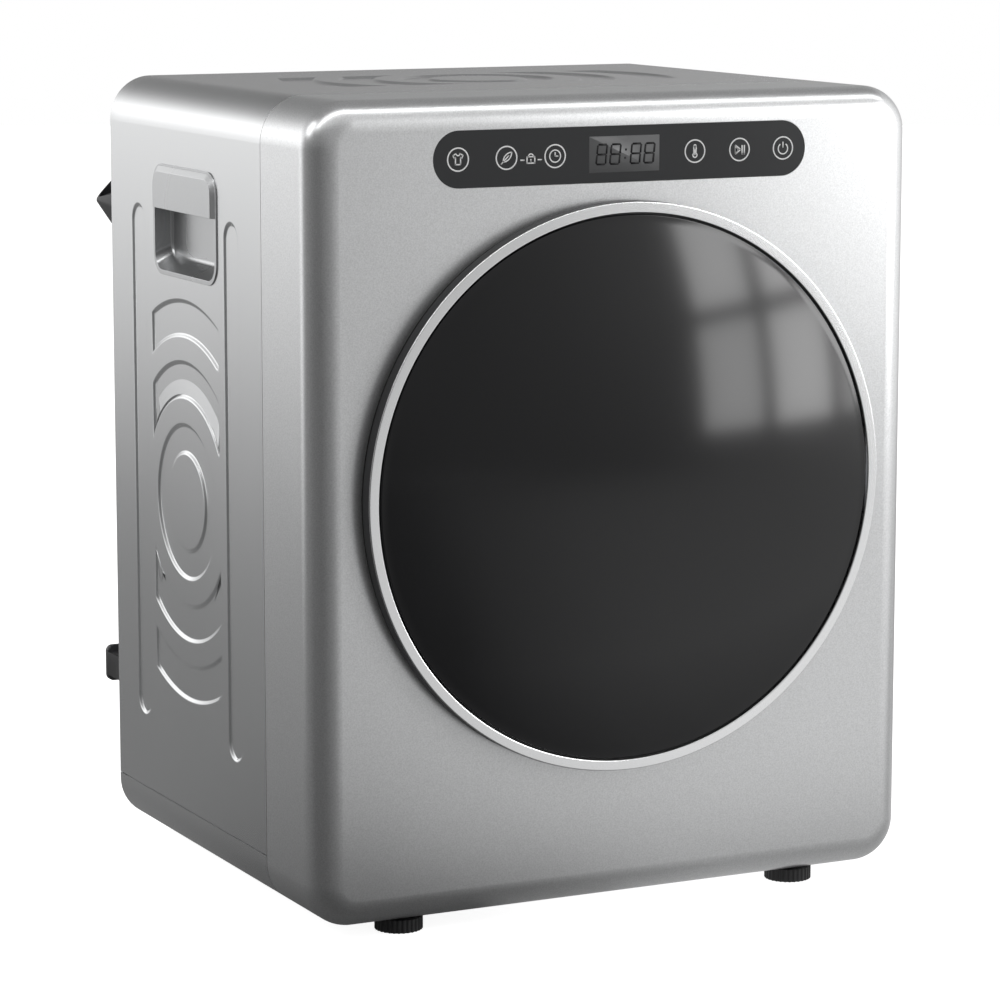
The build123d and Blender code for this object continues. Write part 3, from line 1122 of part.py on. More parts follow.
MESH_MID = (FILTER_AT[0] + FILTER_AT[1]) / 2
with BuildPart() as lint_mesh:
    for x in (-1, 1):
        window_x = sorted((x * (MULLION_HALF + SEAT_GAP), x * (FILTER_HALF - MESH_BAR - SEAT_GAP)))
        inside_z = (window_z[0] + SEAT_GAP, window_z[1] - SEAT_GAP)
        block(window_x, (MESH_MID - MESH_T / 2, MESH_MID + MESH_T / 2), inside_z)
lint_mesh.part.label = "lint_mesh"
export_step(lint_mesh.part, "parts/lint_mesh.step")


DUCT_TOP = Z_DOOR - NECK_R + DUCT_COLLAR
DUCT_BOTTOM = FILTER_LOW - DUCT_FOOT


def lint_duct_face(inset):
    """Outline of the flat duct: wide under the throat, round about the blower's eye."""
    with BuildSketch(facing_front(DUCT_AT[0] + inset, 0, Z_MOTOR)) as outline:
        with Locations((0, (DUCT_TOP + DUCT_BOTTOM) / 2 - Z_MOTOR)):
            Rectangle(2 * (DUCT_HALF - inset), DUCT_TOP - DUCT_BOTTOM - 2 * inset)
        with Locations((MOTOR_X, 0)):
            Circle(EYE_R + EYE_MARGIN - inset)
        make_hull()
    return outline.sketch


duct_outside = lint_duct_face(0)
duct_inside = lint_duct_face(DUCT_WALL)
with BuildPart() as lint_duct:
    extrude(duct_outside, amount=-(DUCT_AT[1] - DUCT_AT[0]))
    extrude(duct_inside, amount=-(DUCT_AT[1] - DUCT_AT[0] - 2 * DUCT_WALL), mode=Mode.SUBTRACT)
    duct_gap = (DUCT_AT[0] + DUCT_WALL, DUCT_AT[1] - DUCT_WALL)
    mouth_x = (-DUCT_HALF + DUCT_WALL, DUCT_HALF - DUCT_WALL)
    block(mouth_x, duct_gap, (Z_DOOR - NECK_R - 2, Z_DOOR), Mode.SUBTRACT)
    tube((0, NECK_R + FIT), (DUCT_AT[0] - 1, DUCT_AT[1] + 1), mode=Mode.SUBTRACT)
    tube((0, EYE_R), (duct_gap[1] - 1, DUCT_AT[1] + 1), MOTOR_X, Z_MOTOR, Mode.SUBTRACT)
    for x in (-1, 1):
        ledge_x = sorted((x * (FILTER_HALF - DUCT_LEDGE), x * (DUCT_HALF - DUCT_WALL)))
        block(ledge_x, duct_gap, (DUCT_BOTTOM, FILTER_LOW - FIT))
lint_duct.part.label = "lint_duct"
export_step(lint_duct.part, "parts/lint_duct.step")

# --- blower: scroll housing and wheel -------------------------------------------------------
def scroll_face(inset):
    """Scroll outline with its outlet running to the left along the floor."""
    with BuildSketch(facing_front(BLOWER_RUN[0] + inset, MOTOR_X, Z_MOTOR)) as outline:
        Circle(BLOWER_R - inset)
        low, high = DUCT_LOW + inset - Z_MOTOR, DUCT_HIGH - inset - Z_MOTOR
        with Locations(((CHANNEL_MOUTH - MOTOR_X) / 2, (low + high) / 2)):
            Rectangle(MOTOR_X - CHANNEL_MOUTH, high - low)
    return outline.sketch


scroll_outside = scroll_face(0)
scroll_inside = scroll_face(DUCT_WALL)
with BuildPart() as blower_housing:
    extrude(scroll_outside, amount=-(BLOWER_RUN[1] - BLOWER_RUN[0]))
    extrude(scroll_inside, amount=-(BLOWER_RUN[1] - BLOWER_RUN[0] - 2 * DUCT_WALL), mode=Mode.SUBTRACT)
    tube((0, EYE_R), (BLOWER_RUN[0] - 1, BLOWER_RUN[0] + DUCT_WALL + 1), MOTOR_X, Z_MOTOR, Mode.SUBTRACT)
    shaft_hole_run = (BLOWER_RUN[1] - DUCT_WALL - 1, BLOWER_RUN[1] + 1)
    tube((0, MOTOR_SHAFT_R + SHAFT_CLEAR), shaft_hole_run, MOTOR_X, Z_MOTOR, Mode.SUBTRACT)
blower_housing.part.label = "blower_housing"
export_step(blower_housing.part, "parts/blower_housing.step")

with BuildPart() as blower_wheel:
    hub_bore = MOTOR_SHAFT_R + SEAT_GAP
    tube((hub_bore, WHEEL_R), (WHEEL_RUN[1] - WHEEL_PLATE, WHEEL_RUN[1]), MOTOR_X, Z_MOTOR)
    tube((hub_bore, WHEEL_HUB_R), (WHEEL_RUN[0] + WHEEL_HUB_R / 2, WHEEL_RUN[1]), MOTOR_X, Z_MOTOR)
    tube((BLADE_IN, WHEEL_R), (WHEEL_RUN[0], WHEEL_RUN[0] + WHEEL_RING), MOTOR_X, Z_MOTOR)
    with BuildSketch(facing_front(WHEEL_RUN[0] + 1, MOTOR_X, Z_MOTOR)) as blades:
        with PolarLocations((BLADE_IN + WHEEL_R) / 2, WHEEL_BLADES):
            Rectangle(WHEEL_R - BLADE_IN - 1, BLADE_T, rotation=BLADE_ANGLE)
    extrude(blades.sketch, amount=-(WHEEL_RUN[1] - WHEEL_RUN[0] - 2))
blower_wheel.part.label = "blower_wheel"
export_step(blower_wheel.part, "parts/blower_wheel.step")

# --- motor -----------------------------------------------------------------------------------
STACK_RUN = (MOTOR_RUN[0] + STACK_END, MOTOR_RUN[1] - STACK_END)
HUB_RUN = (MOTOR_RUN[0] - MOTOR_HUB, MOTOR_RUN[1] + MOTOR_HUB)
with BuildPart() as motor_casing:
    tube((0, MOTOR_R), MOTOR_RUN, MOTOR_X, Z_MOTOR)
    tube((0, MOTOR_HUB_R), HUB_RUN, MOTOR_X, Z_MOTOR)
    case_inside = (MOTOR_RUN[0] + CASE_WALL, MOTOR_RUN[1] - CASE_WALL)
    tube((0, MOTOR_R - CASE_WALL), case_inside, MOTOR_X, Z_MOTOR, Mode.SUBTRACT)
    bearing_bore = MOTOR_BEARING_R + SEAT_GAP
    tube((0, bearing_bore), (HUB_RUN[0] - 1, HUB_RUN[1] + 1), MOTOR_X, Z_MOTOR, Mode.SUBTRACT)
    with BuildSketch(facing_front(MOTOR_RUN[0] - 1, MOTOR_X, Z_MOTOR)) as vents:
        with PolarLocations((MOTOR_HUB_R + MOTOR_R) / 2, CASE_VENTS):
            SlotOverall(*CASE_VENT)
    extrude(vents.sketch, amount=-(CASE_WALL + 2), mode=Mode.SUBTRACT)
motor_casing.part.label = "motor_casing"
export_step(motor_casing.part, "parts/motor_casing.step")

with BuildPart() as motor_stator:
    tube((STACK_R + AIR_GAP, MOTOR_R - CASE_WALL - SEAT_GAP), STACK_RUN, MOTOR_X, Z_MOTOR)
    winding_r = (STACK_R + 4 * AIR_GAP, MOTOR_R - 3 * CASE_WALL)
    for start in (STACK_RUN[0] - WINDING, STACK_RUN[1]):
        tube(winding_r, (start, start + WINDING), MOTOR_X, Z_MOTOR)
motor_stator.part.label = "motor_stator"
export_step(motor_stator.part, "parts/motor_stator.step")

with BuildPart() as motor_bearings:
    for start in (HUB_RUN[0], HUB_RUN[1] - MOTOR_HUB - CASE_WALL):
        ring_run = (start, start + MOTOR_HUB + CASE_WALL)
        tube((MOTOR_SHAFT_R + RUNNING, MOTOR_BEARING_R), ring_run, MOTOR_X, Z_MOTOR)
motor_bearings.part.label = "motor_bearings"
export_step(motor_bearings.part, "parts/motor_bearings.step")

PULLEY_RUN = (BELT_AT - PULLEY_END, BELT_AT + BELT_WIDTH + PULLEY_END)
with BuildPart() as motor_shaft:
    tube((0, MOTOR_SHAFT_R), (WHEEL_RUN[0] + WHEEL_PLATE, PULLEY_RUN[1] + 2), MOTOR_X, Z_MOTOR)
    tube((0, STACK_R), STACK_RUN, MOTOR_X, Z_MOTOR)
motor_shaft.part.label = "motor_shaft"
export_step(motor_shaft.part, "parts/motor_shaft.step")

with BuildPart() as motor_pulley:
    tube((hub_bore, PULLEY_R), PULLEY_RUN, MOTOR_X, Z_MOTOR)
    for flange_run in ((PULLEY_RUN[0], BELT_AT - 1), (BELT_AT + BELT_WIDTH + 1, PULLEY_RUN[1])):
        tube((hub_bore, PULLEY_FLANGE_R), flange_run, MOTOR_X, Z_MOTOR)
motor_pulley.part.label = "motor_pulley"
export_step(motor_pulley.part, "parts/motor_pulley.step")

EAR_STARTS = (HUB_RUN[0] + 2, HUB_RUN[1] - 2 - BRACKET_T)
with BuildPart() as motor_bracket:
    bracket_x = (MOTOR_X - BRACKET_HALF, MOTOR_X + BRACKET_HALF)
    bracket_run = (HUB_RUN[0] - BRACKET_EAR, HUB_RUN[1] + BRACKET_EAR)
    block(bracket_x, bracket_run, (PAN_FLOOR, PAN_FLOOR + BRACKET_T))
    for start in EAR_STARTS:
        block(bracket_x, (start, start + BRACKET_T), (PAN_FLOOR, Z_MOTOR))
        tube((0, MOTOR_HUB_R + BRACKET_EAR), (start, start + BRACKET_T), MOTOR_X, Z_MOTOR)
    tube((0, MOTOR_HUB_R + SEAT_GAP), bracket_run, MOTOR_X, Z_MOTOR, Mode.SUBTRACT)
motor_bracket.part.label = "motor_bracket"
export_step(motor_bracket.part, "parts/motor_bracket.step")

CAN_TOP = PAN_FLOOR + CAPACITOR_HEIGHT
with BuildPart() as run_capacitor:
    can_x, can_d = CAPACITOR
    post(CAPACITOR_R, (PAN_FLOOR, CAN_TOP), can_x, can_d)
    fillet(run_capacitor.faces().sort_by(Axis.Z)[-1].edges(), 2)
    off, half, height = TERMINAL
    for x in (can_x - off, can_x + off):
        block((x - 1, x + 1), (can_d - half, can_d + half), (CAN_TOP, CAN_TOP + height))
run_capacitor.part.label = "run_capacitor"
export_step(run_capacitor.part, "parts/run_capacitor.step")

# --- belt, idler and its arm --------------------------------------------------------------
Z_IDLER = Z_BASE + IDLER_HEIGHT
Z_PIVOT = Z_BASE + IDLER_PIVOT_HEIGHT
# Wheels in the order that the belt meets them, anticlockwise seen from the front.
# The last figure is 1 where the belt runs round the outside and -1 where it bends back.
BELT_WHEELS = [
    (0.0, Z_DOOR, DRUM_R, 1),
    (IDLER_X, Z_IDLER, IDLER_R, -1),
    (MOTOR_X, Z_MOTOR, PULLEY_R, 1),
]


def belt_radius(wheel, outer):
    """Radius at which one face of the belt goes round a wheel."""
    away = outer == (wheel[3] > 0)
    return wheel[2] + FIT + (BELT_T if away else 0)


def belt_line(start, end, outer):
    """Straight run between two wheels, as its two tangent points."""
    r_start = start[3] * belt_radius(start, outer)
    r_end = end[3] * belt_radius(end, outer)
    dx, dz = end[0] - start[0], end[1] - start[1]
    turn = atan2(dz, dx) - asin((r_end - r_start) / sqrt(dx * dx + dz * dz))
    left = (-sin(turn), cos(turn))
    return (
        (start[0] - r_start * left[0], start[1] - r_start * left[1]),
        (end[0] - r_end * left[0], end[1] - r_end * left[1]),
    )


def draw_belt(outer):
    """Closed line along the outer or the inner face of the belt."""
    count = len(BELT_WHEELS)
    runs = [belt_line(BELT_WHEELS[i], BELT_WHEELS[(i + 1) % count], outer) for i in range(count)]
    for i, (start, end) in enumerate(runs):
        Line(start, end)
        x, z, _, sense = BELT_WHEELS[(i + 1) % count]
        leave = runs[(i + 1) % count][0]
        angle_in = atan2(end[1] - z, end[0] - x)
        angle_out = atan2(leave[1] - z, leave[0] - x)
        middle = angle_in + sense * ((sense * (angle_out - angle_in)) % (2 * pi)) / 2
        r = belt_radius(BELT_WHEELS[(i + 1) % count], outer)
        ThreePointArc(end, (x + r * cos(middle), z + r * sin(middle)), leave)


with BuildPart() as drum_belt:
    with BuildSketch(facing_front(BELT_AT)) as loop:
        with BuildLine():
            draw_belt(True)
        make_face()
        with BuildLine():
            draw_belt(False)
        make_face(mode=Mode.SUBTRACT)
    extrude(loop.sketch, amount=-BELT_WIDTH)
drum_belt.part.label = "drum_belt"
export_step(drum_belt.part, "parts/drum_belt.step")

ARM_AT = (BELT_AT - ARM_OFF, BELT_AT - ARM_OFF + ARM_T)
IDLER_RUN = (BELT_AT - 3, BELT_AT + BELT_WIDTH + 2)
with BuildPart() as idler_arm:
    with BuildSketch(facing_front(ARM_AT[0])) as arm:
        for x, z in ((IDLER_X, Z_IDLER), (IDLER_PIVOT_X, Z_PIVOT)):
            with Locations((x, z)):
                Circle(ARM_HEAD_R)
        make_hull()
        with Locations((IDLER_PIVOT_X, Z_PIVOT)):
            Circle(IDLER_PIN_R + RUNNING, mode=Mode.SUBTRACT)
    extrude(arm.sketch, amount=-ARM_T)
    tube((0, IDLER_PIN_R), (ARM_AT[0], IDLER_RUN[1] + 1), IDLER_X, Z_IDLER)
idler_arm.part.label = "idler_arm"
export_step(idler_arm.part, "parts/idler_arm.step")

with BuildPart() as idler_pulley:
    tube((IDLER_PIN_R + RUNNING, IDLER_R), IDLER_RUN, IDLER_X, Z_IDLER)
idler_pulley.part.label = "idler_pulley"
export_step(idler_pulley.part, "parts/idler_pulley.step")

with BuildPart() as idler_pivot:
    pivot_x = (IDLER_PIVOT_X - PIVOT_HALF, IDLER_PIVOT_X + PIVOT_HALF)
    pivot_at = ARM_AT[0] - PIVOT_AHEAD
    foot_run = (ARM_AT[0] - PIVOT_FOOT[0], ARM_AT[0] - PIVOT_FOOT[1])
    block(pivot_x, foot_run, (PAN_FLOOR, PAN_FLOOR + PIVOT_PLATE))
    block(pivot_x, (pivot_at, pivot_at + PIVOT_PLATE), (PAN_FLOOR, Z_PIVOT + ARM_HEAD_R))
    tube((0, IDLER_PIN_R), (pivot_at, ARM_AT[1] + PIVOT_PLATE), IDLER_PIVOT_X, Z_PIVOT)
    tube((0, IDLER_PIN_R + PIVOT_PLATE), (ARM_AT[1] + FIT, ARM_AT[1] + PIVOT_PLATE), IDLER_PIVOT_X, Z_PIVOT)
idler_pivot.part.label = "idler_pivot"
export_step(idler_pivot.part, "parts/idler_pivot.step")

with BuildPart() as idler_spring:
    spring_start = depth(pivot_at + PIVOT_PLATE + SPRING_WIRE + 2 * FIT)
    spring_centre = (IDLER_PIVOT_X, spring_start, Z_PIVOT)
    with BuildLine() as coil:
        Helix(SPRING_PITCH, SPRING_PITCH * SPRING_TURNS, SPRING_R, center=spring_centre, direction=(0, 1, 0))
    with BuildSketch(Plane(origin=coil.line @ 0, z_dir=coil.line % 0)):
        Circle(SPRING_WIRE)
    sweep(path=coil.line, is_frenet=True)
idler_spring.part.label = "idler_spring"
export_step(idler_spring.part, "parts/idler_spring.step")

# --- screws ------------------------------------------------------------------------------
with BuildPart() as case_screws:
    for x, z in REAR_SCREWS:
        tube((0, SCREW_R), (BACK_AT - SHEET, CABINET_DEPTH), x, z)
        tube((0, SCREW_HEAD_R), (CABINET_DEPTH, CABINET_DEPTH + SCREW_HEAD), x, z)
    for x, z in COLLAR_SCREWS:
        tube((0, SCREW_R), (BACK_AT, COLLAR_FACE), x, z)
        tube((0, SCREW_HEAD_R), (COLLAR_FACE, COLLAR_FACE + SCREW_HEAD), x, z)
case_screws.part.label = "case_screws"
export_step(case_screws.part, "parts/case_screws.step")
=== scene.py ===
# %% [markdown]
# # A compact clothes dryer
#
# The engineering model is already there: sixty named nodes, each on the body that it moves with.
# This lesson gives it its looks. Outer shells that catch the light are modelled again with
# bmesh operators, so that their curves are smooth and their edges soft. Most inner pieces keep
# the engineering shape and get a finish, and the soft ones get forms of their own. Everything
# is in metres, +Z is up and the door faces -Y.

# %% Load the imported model
import math

import bmesh
import bpy
from mathutils import Matrix, Vector
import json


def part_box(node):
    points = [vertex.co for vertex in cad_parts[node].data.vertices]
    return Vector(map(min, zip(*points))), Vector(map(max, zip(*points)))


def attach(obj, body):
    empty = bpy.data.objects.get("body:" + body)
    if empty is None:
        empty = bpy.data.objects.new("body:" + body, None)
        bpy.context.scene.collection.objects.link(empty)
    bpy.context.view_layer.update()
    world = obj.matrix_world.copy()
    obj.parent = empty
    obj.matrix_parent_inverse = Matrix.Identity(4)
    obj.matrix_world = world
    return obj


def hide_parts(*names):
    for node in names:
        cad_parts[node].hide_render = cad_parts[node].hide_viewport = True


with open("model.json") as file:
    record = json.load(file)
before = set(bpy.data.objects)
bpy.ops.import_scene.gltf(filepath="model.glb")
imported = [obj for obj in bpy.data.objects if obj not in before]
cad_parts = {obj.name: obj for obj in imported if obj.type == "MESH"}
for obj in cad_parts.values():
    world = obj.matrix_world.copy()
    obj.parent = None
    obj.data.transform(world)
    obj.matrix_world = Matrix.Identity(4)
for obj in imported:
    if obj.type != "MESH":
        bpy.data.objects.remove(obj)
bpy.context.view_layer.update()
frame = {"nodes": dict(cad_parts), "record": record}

# %% [markdown]
# ## Sizes
#
# Places are read from the model's own boxes, so that the pieces fit. Radii, walls and the depths
# of the front and the cabinet are written down here.

# %% Places from the model, radii, depths and walls
FRONT_LOW, FRONT_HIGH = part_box("front_panel")
WRAP_LOW, WRAP_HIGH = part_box("cabinet_wrap")
PAN_LOW, PAN_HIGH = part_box("base_pan")
RING_LOW, RING_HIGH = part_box("door_ring")
LENS_LOW, LENS_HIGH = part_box("door_lens")
PILL_LOW, PILL_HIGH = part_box("control_lens")
HALF_WIDTH = WRAP_HIGH.x
CABINET_TOP = WRAP_HIGH.z
FACE_Y = FRONT_LOW.y
DOOR_Z = (RING_LOW.z + RING_HIGH.z) / 2
RING_R = (RING_HIGH.z - RING_LOW.z) / 2
PILL_Z = (PILL_LOW.z + PILL_HIGH.z) / 2
CORNER_R = 0.034
FACE_FILLET = 0.0216
FRONT_DEPTH = 0.090
CABINET_DEPTH = 0.395
SHEET = 0.001
OPENING_R = 0.198
LIP_INSET = 0.0013
LIP = 0.008
print("cabinet half width", round(HALF_WIDTH, 4), "top", round(CABINET_TOP, 4))

# %% [markdown]
# ## Helpers for meshes
#
# A bmesh is a mesh on the workbench: operators shape it, and `to_piece` puts it into an
# object that rides on a body, knows its finish and hides the solid that it stands for.
# Edges sharper than its crisp angle stay crisp, and all others shade smoothly.


# %% Turn a bmesh into a piece
def new_object(name, bm, material):
    """Object with the mesh of a bmesh, which is used up, and one material."""
    mesh = bpy.data.meshes.new(name)
    bm.to_mesh(mesh)
    bm.free()
    mesh.materials.append(material)
    made = bpy.data.objects.new(name, mesh)
    bpy.context.scene.collection.objects.link(made)
    return made


def to_piece(name, bm, material, body="cabinet", replaces=(), crisp=32.0):
    """Piece of the dryer, smooth between its crisp edges."""
    piece = new_object(name, bm, material)
    piece.data.shade_smooth()
    piece.data.set_sharp_from_angle(angle=math.radians(crisp))
    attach(piece, body)
    if replaces:
        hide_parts(*replaces)
    print(f"{name}: {len(piece.data.polygons)} faces")
    return piece


def round_off(bm, geom, offset, segments, affect="EDGES", clamp=True):
    """Bevel edges or corners of a bmesh with a round profile."""
    return bmesh.ops.bevel(
        bm,
        geom=geom,
        offset=offset,
        offset_type="OFFSET",
        segments=segments,
        profile=0.5,
        affect=affect,
        material=-1,
        clamp_overlap=clamp,
    )


def slice_at(bm, geom, spot, way, clear=False):
    """Cut a bmesh along a plane, and with clear, leave out what lies beyond it."""
    cut = bmesh.ops.bisect_plane(
        bm, geom=geom, dist=1e-7, plane_co=spot, plane_no=way, clear_outer=clear
    )
    return cut["geom_cut"]


def only(parts, kind):
    """Those parts of a bmesh that are of one kind."""
    return [part for part in parts if isinstance(part, kind)]


def extrude_rim(bm, rim):
    """Extrude a rim, and return its new points and its new edges."""
    grown = bmesh.ops.extrude_edge_only(bm, edges=rim)["geom"]
    points = only(grown, bmesh.types.BMVert)
    edges = only(grown, bmesh.types.BMEdge)
    return points, [edge for edge in edges if all(vert in points for vert in edge.verts)]


def tidy_normals(bm):
    """Merge doubles and point every face outwards on a closed form."""
    bmesh.ops.remove_doubles(bm, verts=bm.verts, dist=1e-6)
    bmesh.ops.recalc_face_normals(bm, faces=bm.faces)


def soften(piece, width, segments=3, angle=35.0):
    """Round the crisp edges of a finished piece with a live Bevel."""
    bevel = piece.modifiers.new("soft edges", "BEVEL")
    bevel.width = width
    bevel.segments = segments
    bevel.limit_method = "ANGLE"
    bevel.angle_limit = math.radians(angle)
    bevel.use_clamp_overlap = True
    bevel.harden_normals = False
    return piece


def thicken(piece, name, thickness, offset=-1.0, even=False):
    """Give an open surface a live wall."""
    wall = piece.modifiers.new(name, "SOLIDIFY")
    wall.thickness = thickness
    wall.offset = offset
    wall.use_even_offset = even


def flat_sides(piece):
    """Weigh the normals by face area, so that flat sides stay flat beside their rounds."""
    weighted = piece.modifiers.new("flat sides", "WEIGHTED_NORMAL")
    weighted.keep_sharp = True
    weighted.weight = 100
    return piece


# %% [markdown]
# Turned parts are a profile spun about the door's axis. The profile is drawn as (radius, y)
# points, and `spin` does the rest: a full turn with `use_merge` closes the seam.


# %% Spin a profile about the door's axis
def spun(profile, steps=192, closed=True):
    bm = bmesh.new()
    points = [bm.verts.new((r, y, DOOR_Z)) for r, y in profile]
    edges = [bm.edges.new(pair) for pair in zip(points, points[1:])]
    if closed:
        edges.append(bm.edges.new((points[-1], points[0])))
    bmesh.ops.spin(
        bm,
        geom=points + edges,
        cent=(0.0, 0.0, DOOR_Z),
        axis=(0.0, 1.0, 0.0),
        angle=math.tau,
        steps=steps,
        use_merge=True,
    )
    tidy_normals(bm)
    return bm


def arc_points(centre, radius, start, end, count):
    """Points on an arc in the (radius, y) plane, angles in degrees."""
    turn = [math.radians(start + (end - start) * i / (count - 1)) for i in range(count)]
    return [(centre[0] + radius * math.cos(a), centre[1] + radius * math.sin(a)) for a in turn]


# %% [markdown]
# ## One grain for every finish
#
# Silver paint has a fine flake, moulded plastic a slight tooth and steel a faint brushing. All
# are the same idea: a fine noise that shifts colour and gloss a little, over a slow, wide one
# that keeps large faces from looking printed. So it is one node group, with its own values in
# each material. The stretch makes the noise into flecks or long brushed lines.


# %% Helpers for shader nodes
def maths(tree, operation, *values):
    """Result of a math node, where each value is a number or another node's output."""
    node = tree.nodes.new("ShaderNodeMath")
    node.operation = operation
    for socket, value in zip(node.inputs, values):
        if isinstance(value, float):
            socket.default_value = value
        else:
            tree.links.new(value, socket)
    return node.outputs[0]


def set_inputs(node, values):
    """Write constants on the sockets of a node."""
    for label, value in values.items():
        node.inputs[label].default_value = value


def node_material(name):
    """New material, and its node tree."""
    material = bpy.data.materials.new(name)
    material.use_nodes = True
    return material, material.node_tree


# %% Build the shared grain group
def make_grain_group():
    group = bpy.data.node_groups.new("surface grain", "ShaderNodeTree")
    amounts = ("Grain Size", "Grain Shade", "Cloud Size", "Cloud Shade")
    sockets = [("Colour", "INPUT", "Color")]
    sockets += [(label, "INPUT", "Float") for label in (*amounts, "Roughness", "Roughness Spread")]
    sockets += [("Stretch", "INPUT", "Vector"), ("Colour", "OUTPUT", "Color")]
    sockets += [("Roughness", "OUTPUT", "Float"), ("Height", "OUTPUT", "Float")]
    for label, way, kind in sockets:
        group.interface.new_socket(label, in_out=way, socket_type="NodeSocket" + kind)
    nodes, links = group.nodes, group.links
    given = nodes.new("NodeGroupInput")
    result = nodes.new("NodeGroupOutput")
    place = nodes.new("ShaderNodeTexCoord")
    stretch = nodes.new("ShaderNodeVectorMath")
    stretch.operation = "MULTIPLY"
    links.new(place.outputs["Object"], stretch.inputs[0])
    links.new(given.outputs["Stretch"], stretch.inputs[1])
    fine = nodes.new("ShaderNodeTexNoise")
    set_inputs(fine, {"Detail": 3.0, "Roughness": 0.65})
    links.new(stretch.outputs[0], fine.inputs["Vector"])
    links.new(given.outputs["Grain Size"], fine.inputs["Scale"])
    slow = nodes.new("ShaderNodeTexNoise")
    set_inputs(slow, {"Detail": 2.0})
    links.new(place.outputs["Object"], slow.inputs["Vector"])
    links.new(given.outputs["Cloud Size"], slow.inputs["Scale"])

    def spread(noise, amount):
        """Noise about zero, times an amount."""
        centred = maths(group, "SUBTRACT", noise.outputs["Fac"], 0.5)
        return maths(group, "MULTIPLY", centred, given.outputs[amount])

    shade = maths(group, "ADD", spread(fine, "Grain Shade"), spread(slow, "Cloud Shade"))
    tint = nodes.new("ShaderNodeVectorMath")
    tint.operation = "SCALE"
    links.new(given.outputs["Colour"], tint.inputs[0])
    links.new(maths(group, "ADD", shade, 1.0), tint.inputs["Scale"])
    links.new(tint.outputs[0], result.inputs["Colour"])
    rough = maths(group, "ADD", given.outputs["Roughness"], spread(slow, "Roughness Spread"))
    links.new(rough, result.inputs["Roughness"])
    links.new(fine.outputs["Fac"], result.inputs["Height"])
    return group


GRAIN = make_grain_group()
print("grain group sockets:", len(GRAIN.interface.items_tree))

# %% [markdown]
# A finish is then one line: a colour, a gloss and how strong its grain is. The constants sit on
# the shader's own sockets, and only what varies over the surface comes from the group.


# %% Make a finish from the grain group
def finish(
    name,
    colour,
    roughness,
    metal=0.0,
    grain=(900.0, 0.05),
    cloud=(7.0, 0.03),
    spread=0.08,
    stretch=(1.0, 1.0, 1.0),
    bump=(0.0, 0.00002),
    coat=0.0,
    specular=0.5,
):
    material, tree = node_material(name)
    nodes, links = tree.nodes, tree.links
    shader = nodes["Principled BSDF"]
    coats = {"Coat Weight": coat, "Coat Roughness": 0.08}
    set_inputs(shader, {"Metallic": metal, "Specular IOR Level": specular, **coats})
    grained = nodes.new("ShaderNodeGroup")
    grained.node_tree = GRAIN
    grains = {"Grain Size": grain[0], "Grain Shade": grain[1], "Stretch": stretch}
    clouds = {"Cloud Size": cloud[0], "Cloud Shade": cloud[1], "Roughness Spread": spread}
    set_inputs(grained, {"Colour": (*colour, 1.0), "Roughness": roughness, **grains, **clouds})
    links.new(grained.outputs["Colour"], shader.inputs["Base Color"])
    links.new(grained.outputs["Roughness"], shader.inputs["Roughness"])
    if bump[0] > 0.0:
        relief = nodes.new("ShaderNodeBump")
        set_inputs(relief, {"Strength": bump[0], "Distance": bump[1]})
        links.new(grained.outputs["Height"], relief.inputs["Height"])
        links.new(relief.outputs["Normal"], shader.inputs["Normal"])
    return material


# %% [markdown]
# The silver of the front is a metallic paint over moulded plastic, with a flake that you can
# see close up. The wrap and the pan are painted sheet steel in the same silver, smoother. The
# back and the inner brackets are bare zinc plated steel.

# %% Metal and paint finishes
SILVER_FRONT = finish(
    "silver_paint_front",
    (0.61, 0.615, 0.62),
    0.29,
    metal=0.85,
    grain=(900.0, 0.62),
    cloud=(5.0, 0.03),
    bump=(0.38, 0.00006),
)
SILVER_WRAP = finish(
    "silver_paint_sheet",
    (0.58, 0.585, 0.59),
    0.24,
    metal=0.90,
    grain=(1500.0, 0.16),
    cloud=(4.0, 0.04),
    bump=(0.06, 0.00003),
)
SILVER_RING = finish(
    "satin_silver_trim",
    (0.80, 0.805, 0.81),
    0.20,
    metal=0.95,
    grain=(1400.0, 0.10),
    cloud=(6.0, 0.03),
)
ZINC = finish(
    "zinc_plated_sheet",
    (0.50, 0.51, 0.53),
    0.34,
    metal=0.9,
    grain=(160.0, 0.10),
    cloud=(16.0, 0.10),
    spread=0.16,
)
DRUM_STEEL = finish(
    "brushed_drum_steel",
    (0.56, 0.565, 0.57),
    0.28,
    metal=1.0,
    grain=(700.0, 0.20),
    stretch=(1.0, 0.03, 1.0),
    spread=0.10,
)
MACHINED = finish(
    "turned_steel",
    (0.50, 0.50, 0.51),
    0.25,
    metal=1.0,
    grain=(1600.0, 0.20),
    stretch=(1.0, 0.05, 1.0),
)
BRONZE = finish("sintered_bronze", (0.42, 0.27, 0.10), 0.42, metal=0.9, grain=(1800.0, 0.35))
STATOR = finish(
    "laminated_core",
    (0.20, 0.17, 0.15),
    0.5,
    metal=0.6,
    grain=(900.0, 0.6),
    stretch=(0.05, 1.0, 0.05),
)
print("metal finishes:", len(bpy.data.materials))

# %% [markdown]
# The plastics differ in gloss: the lens is polished, the inner frame and the cord hooks are
# textured in the mould, and the feet are dull. Rubber and felt are duller still, and felt has a
# coarse, fibrous grain.

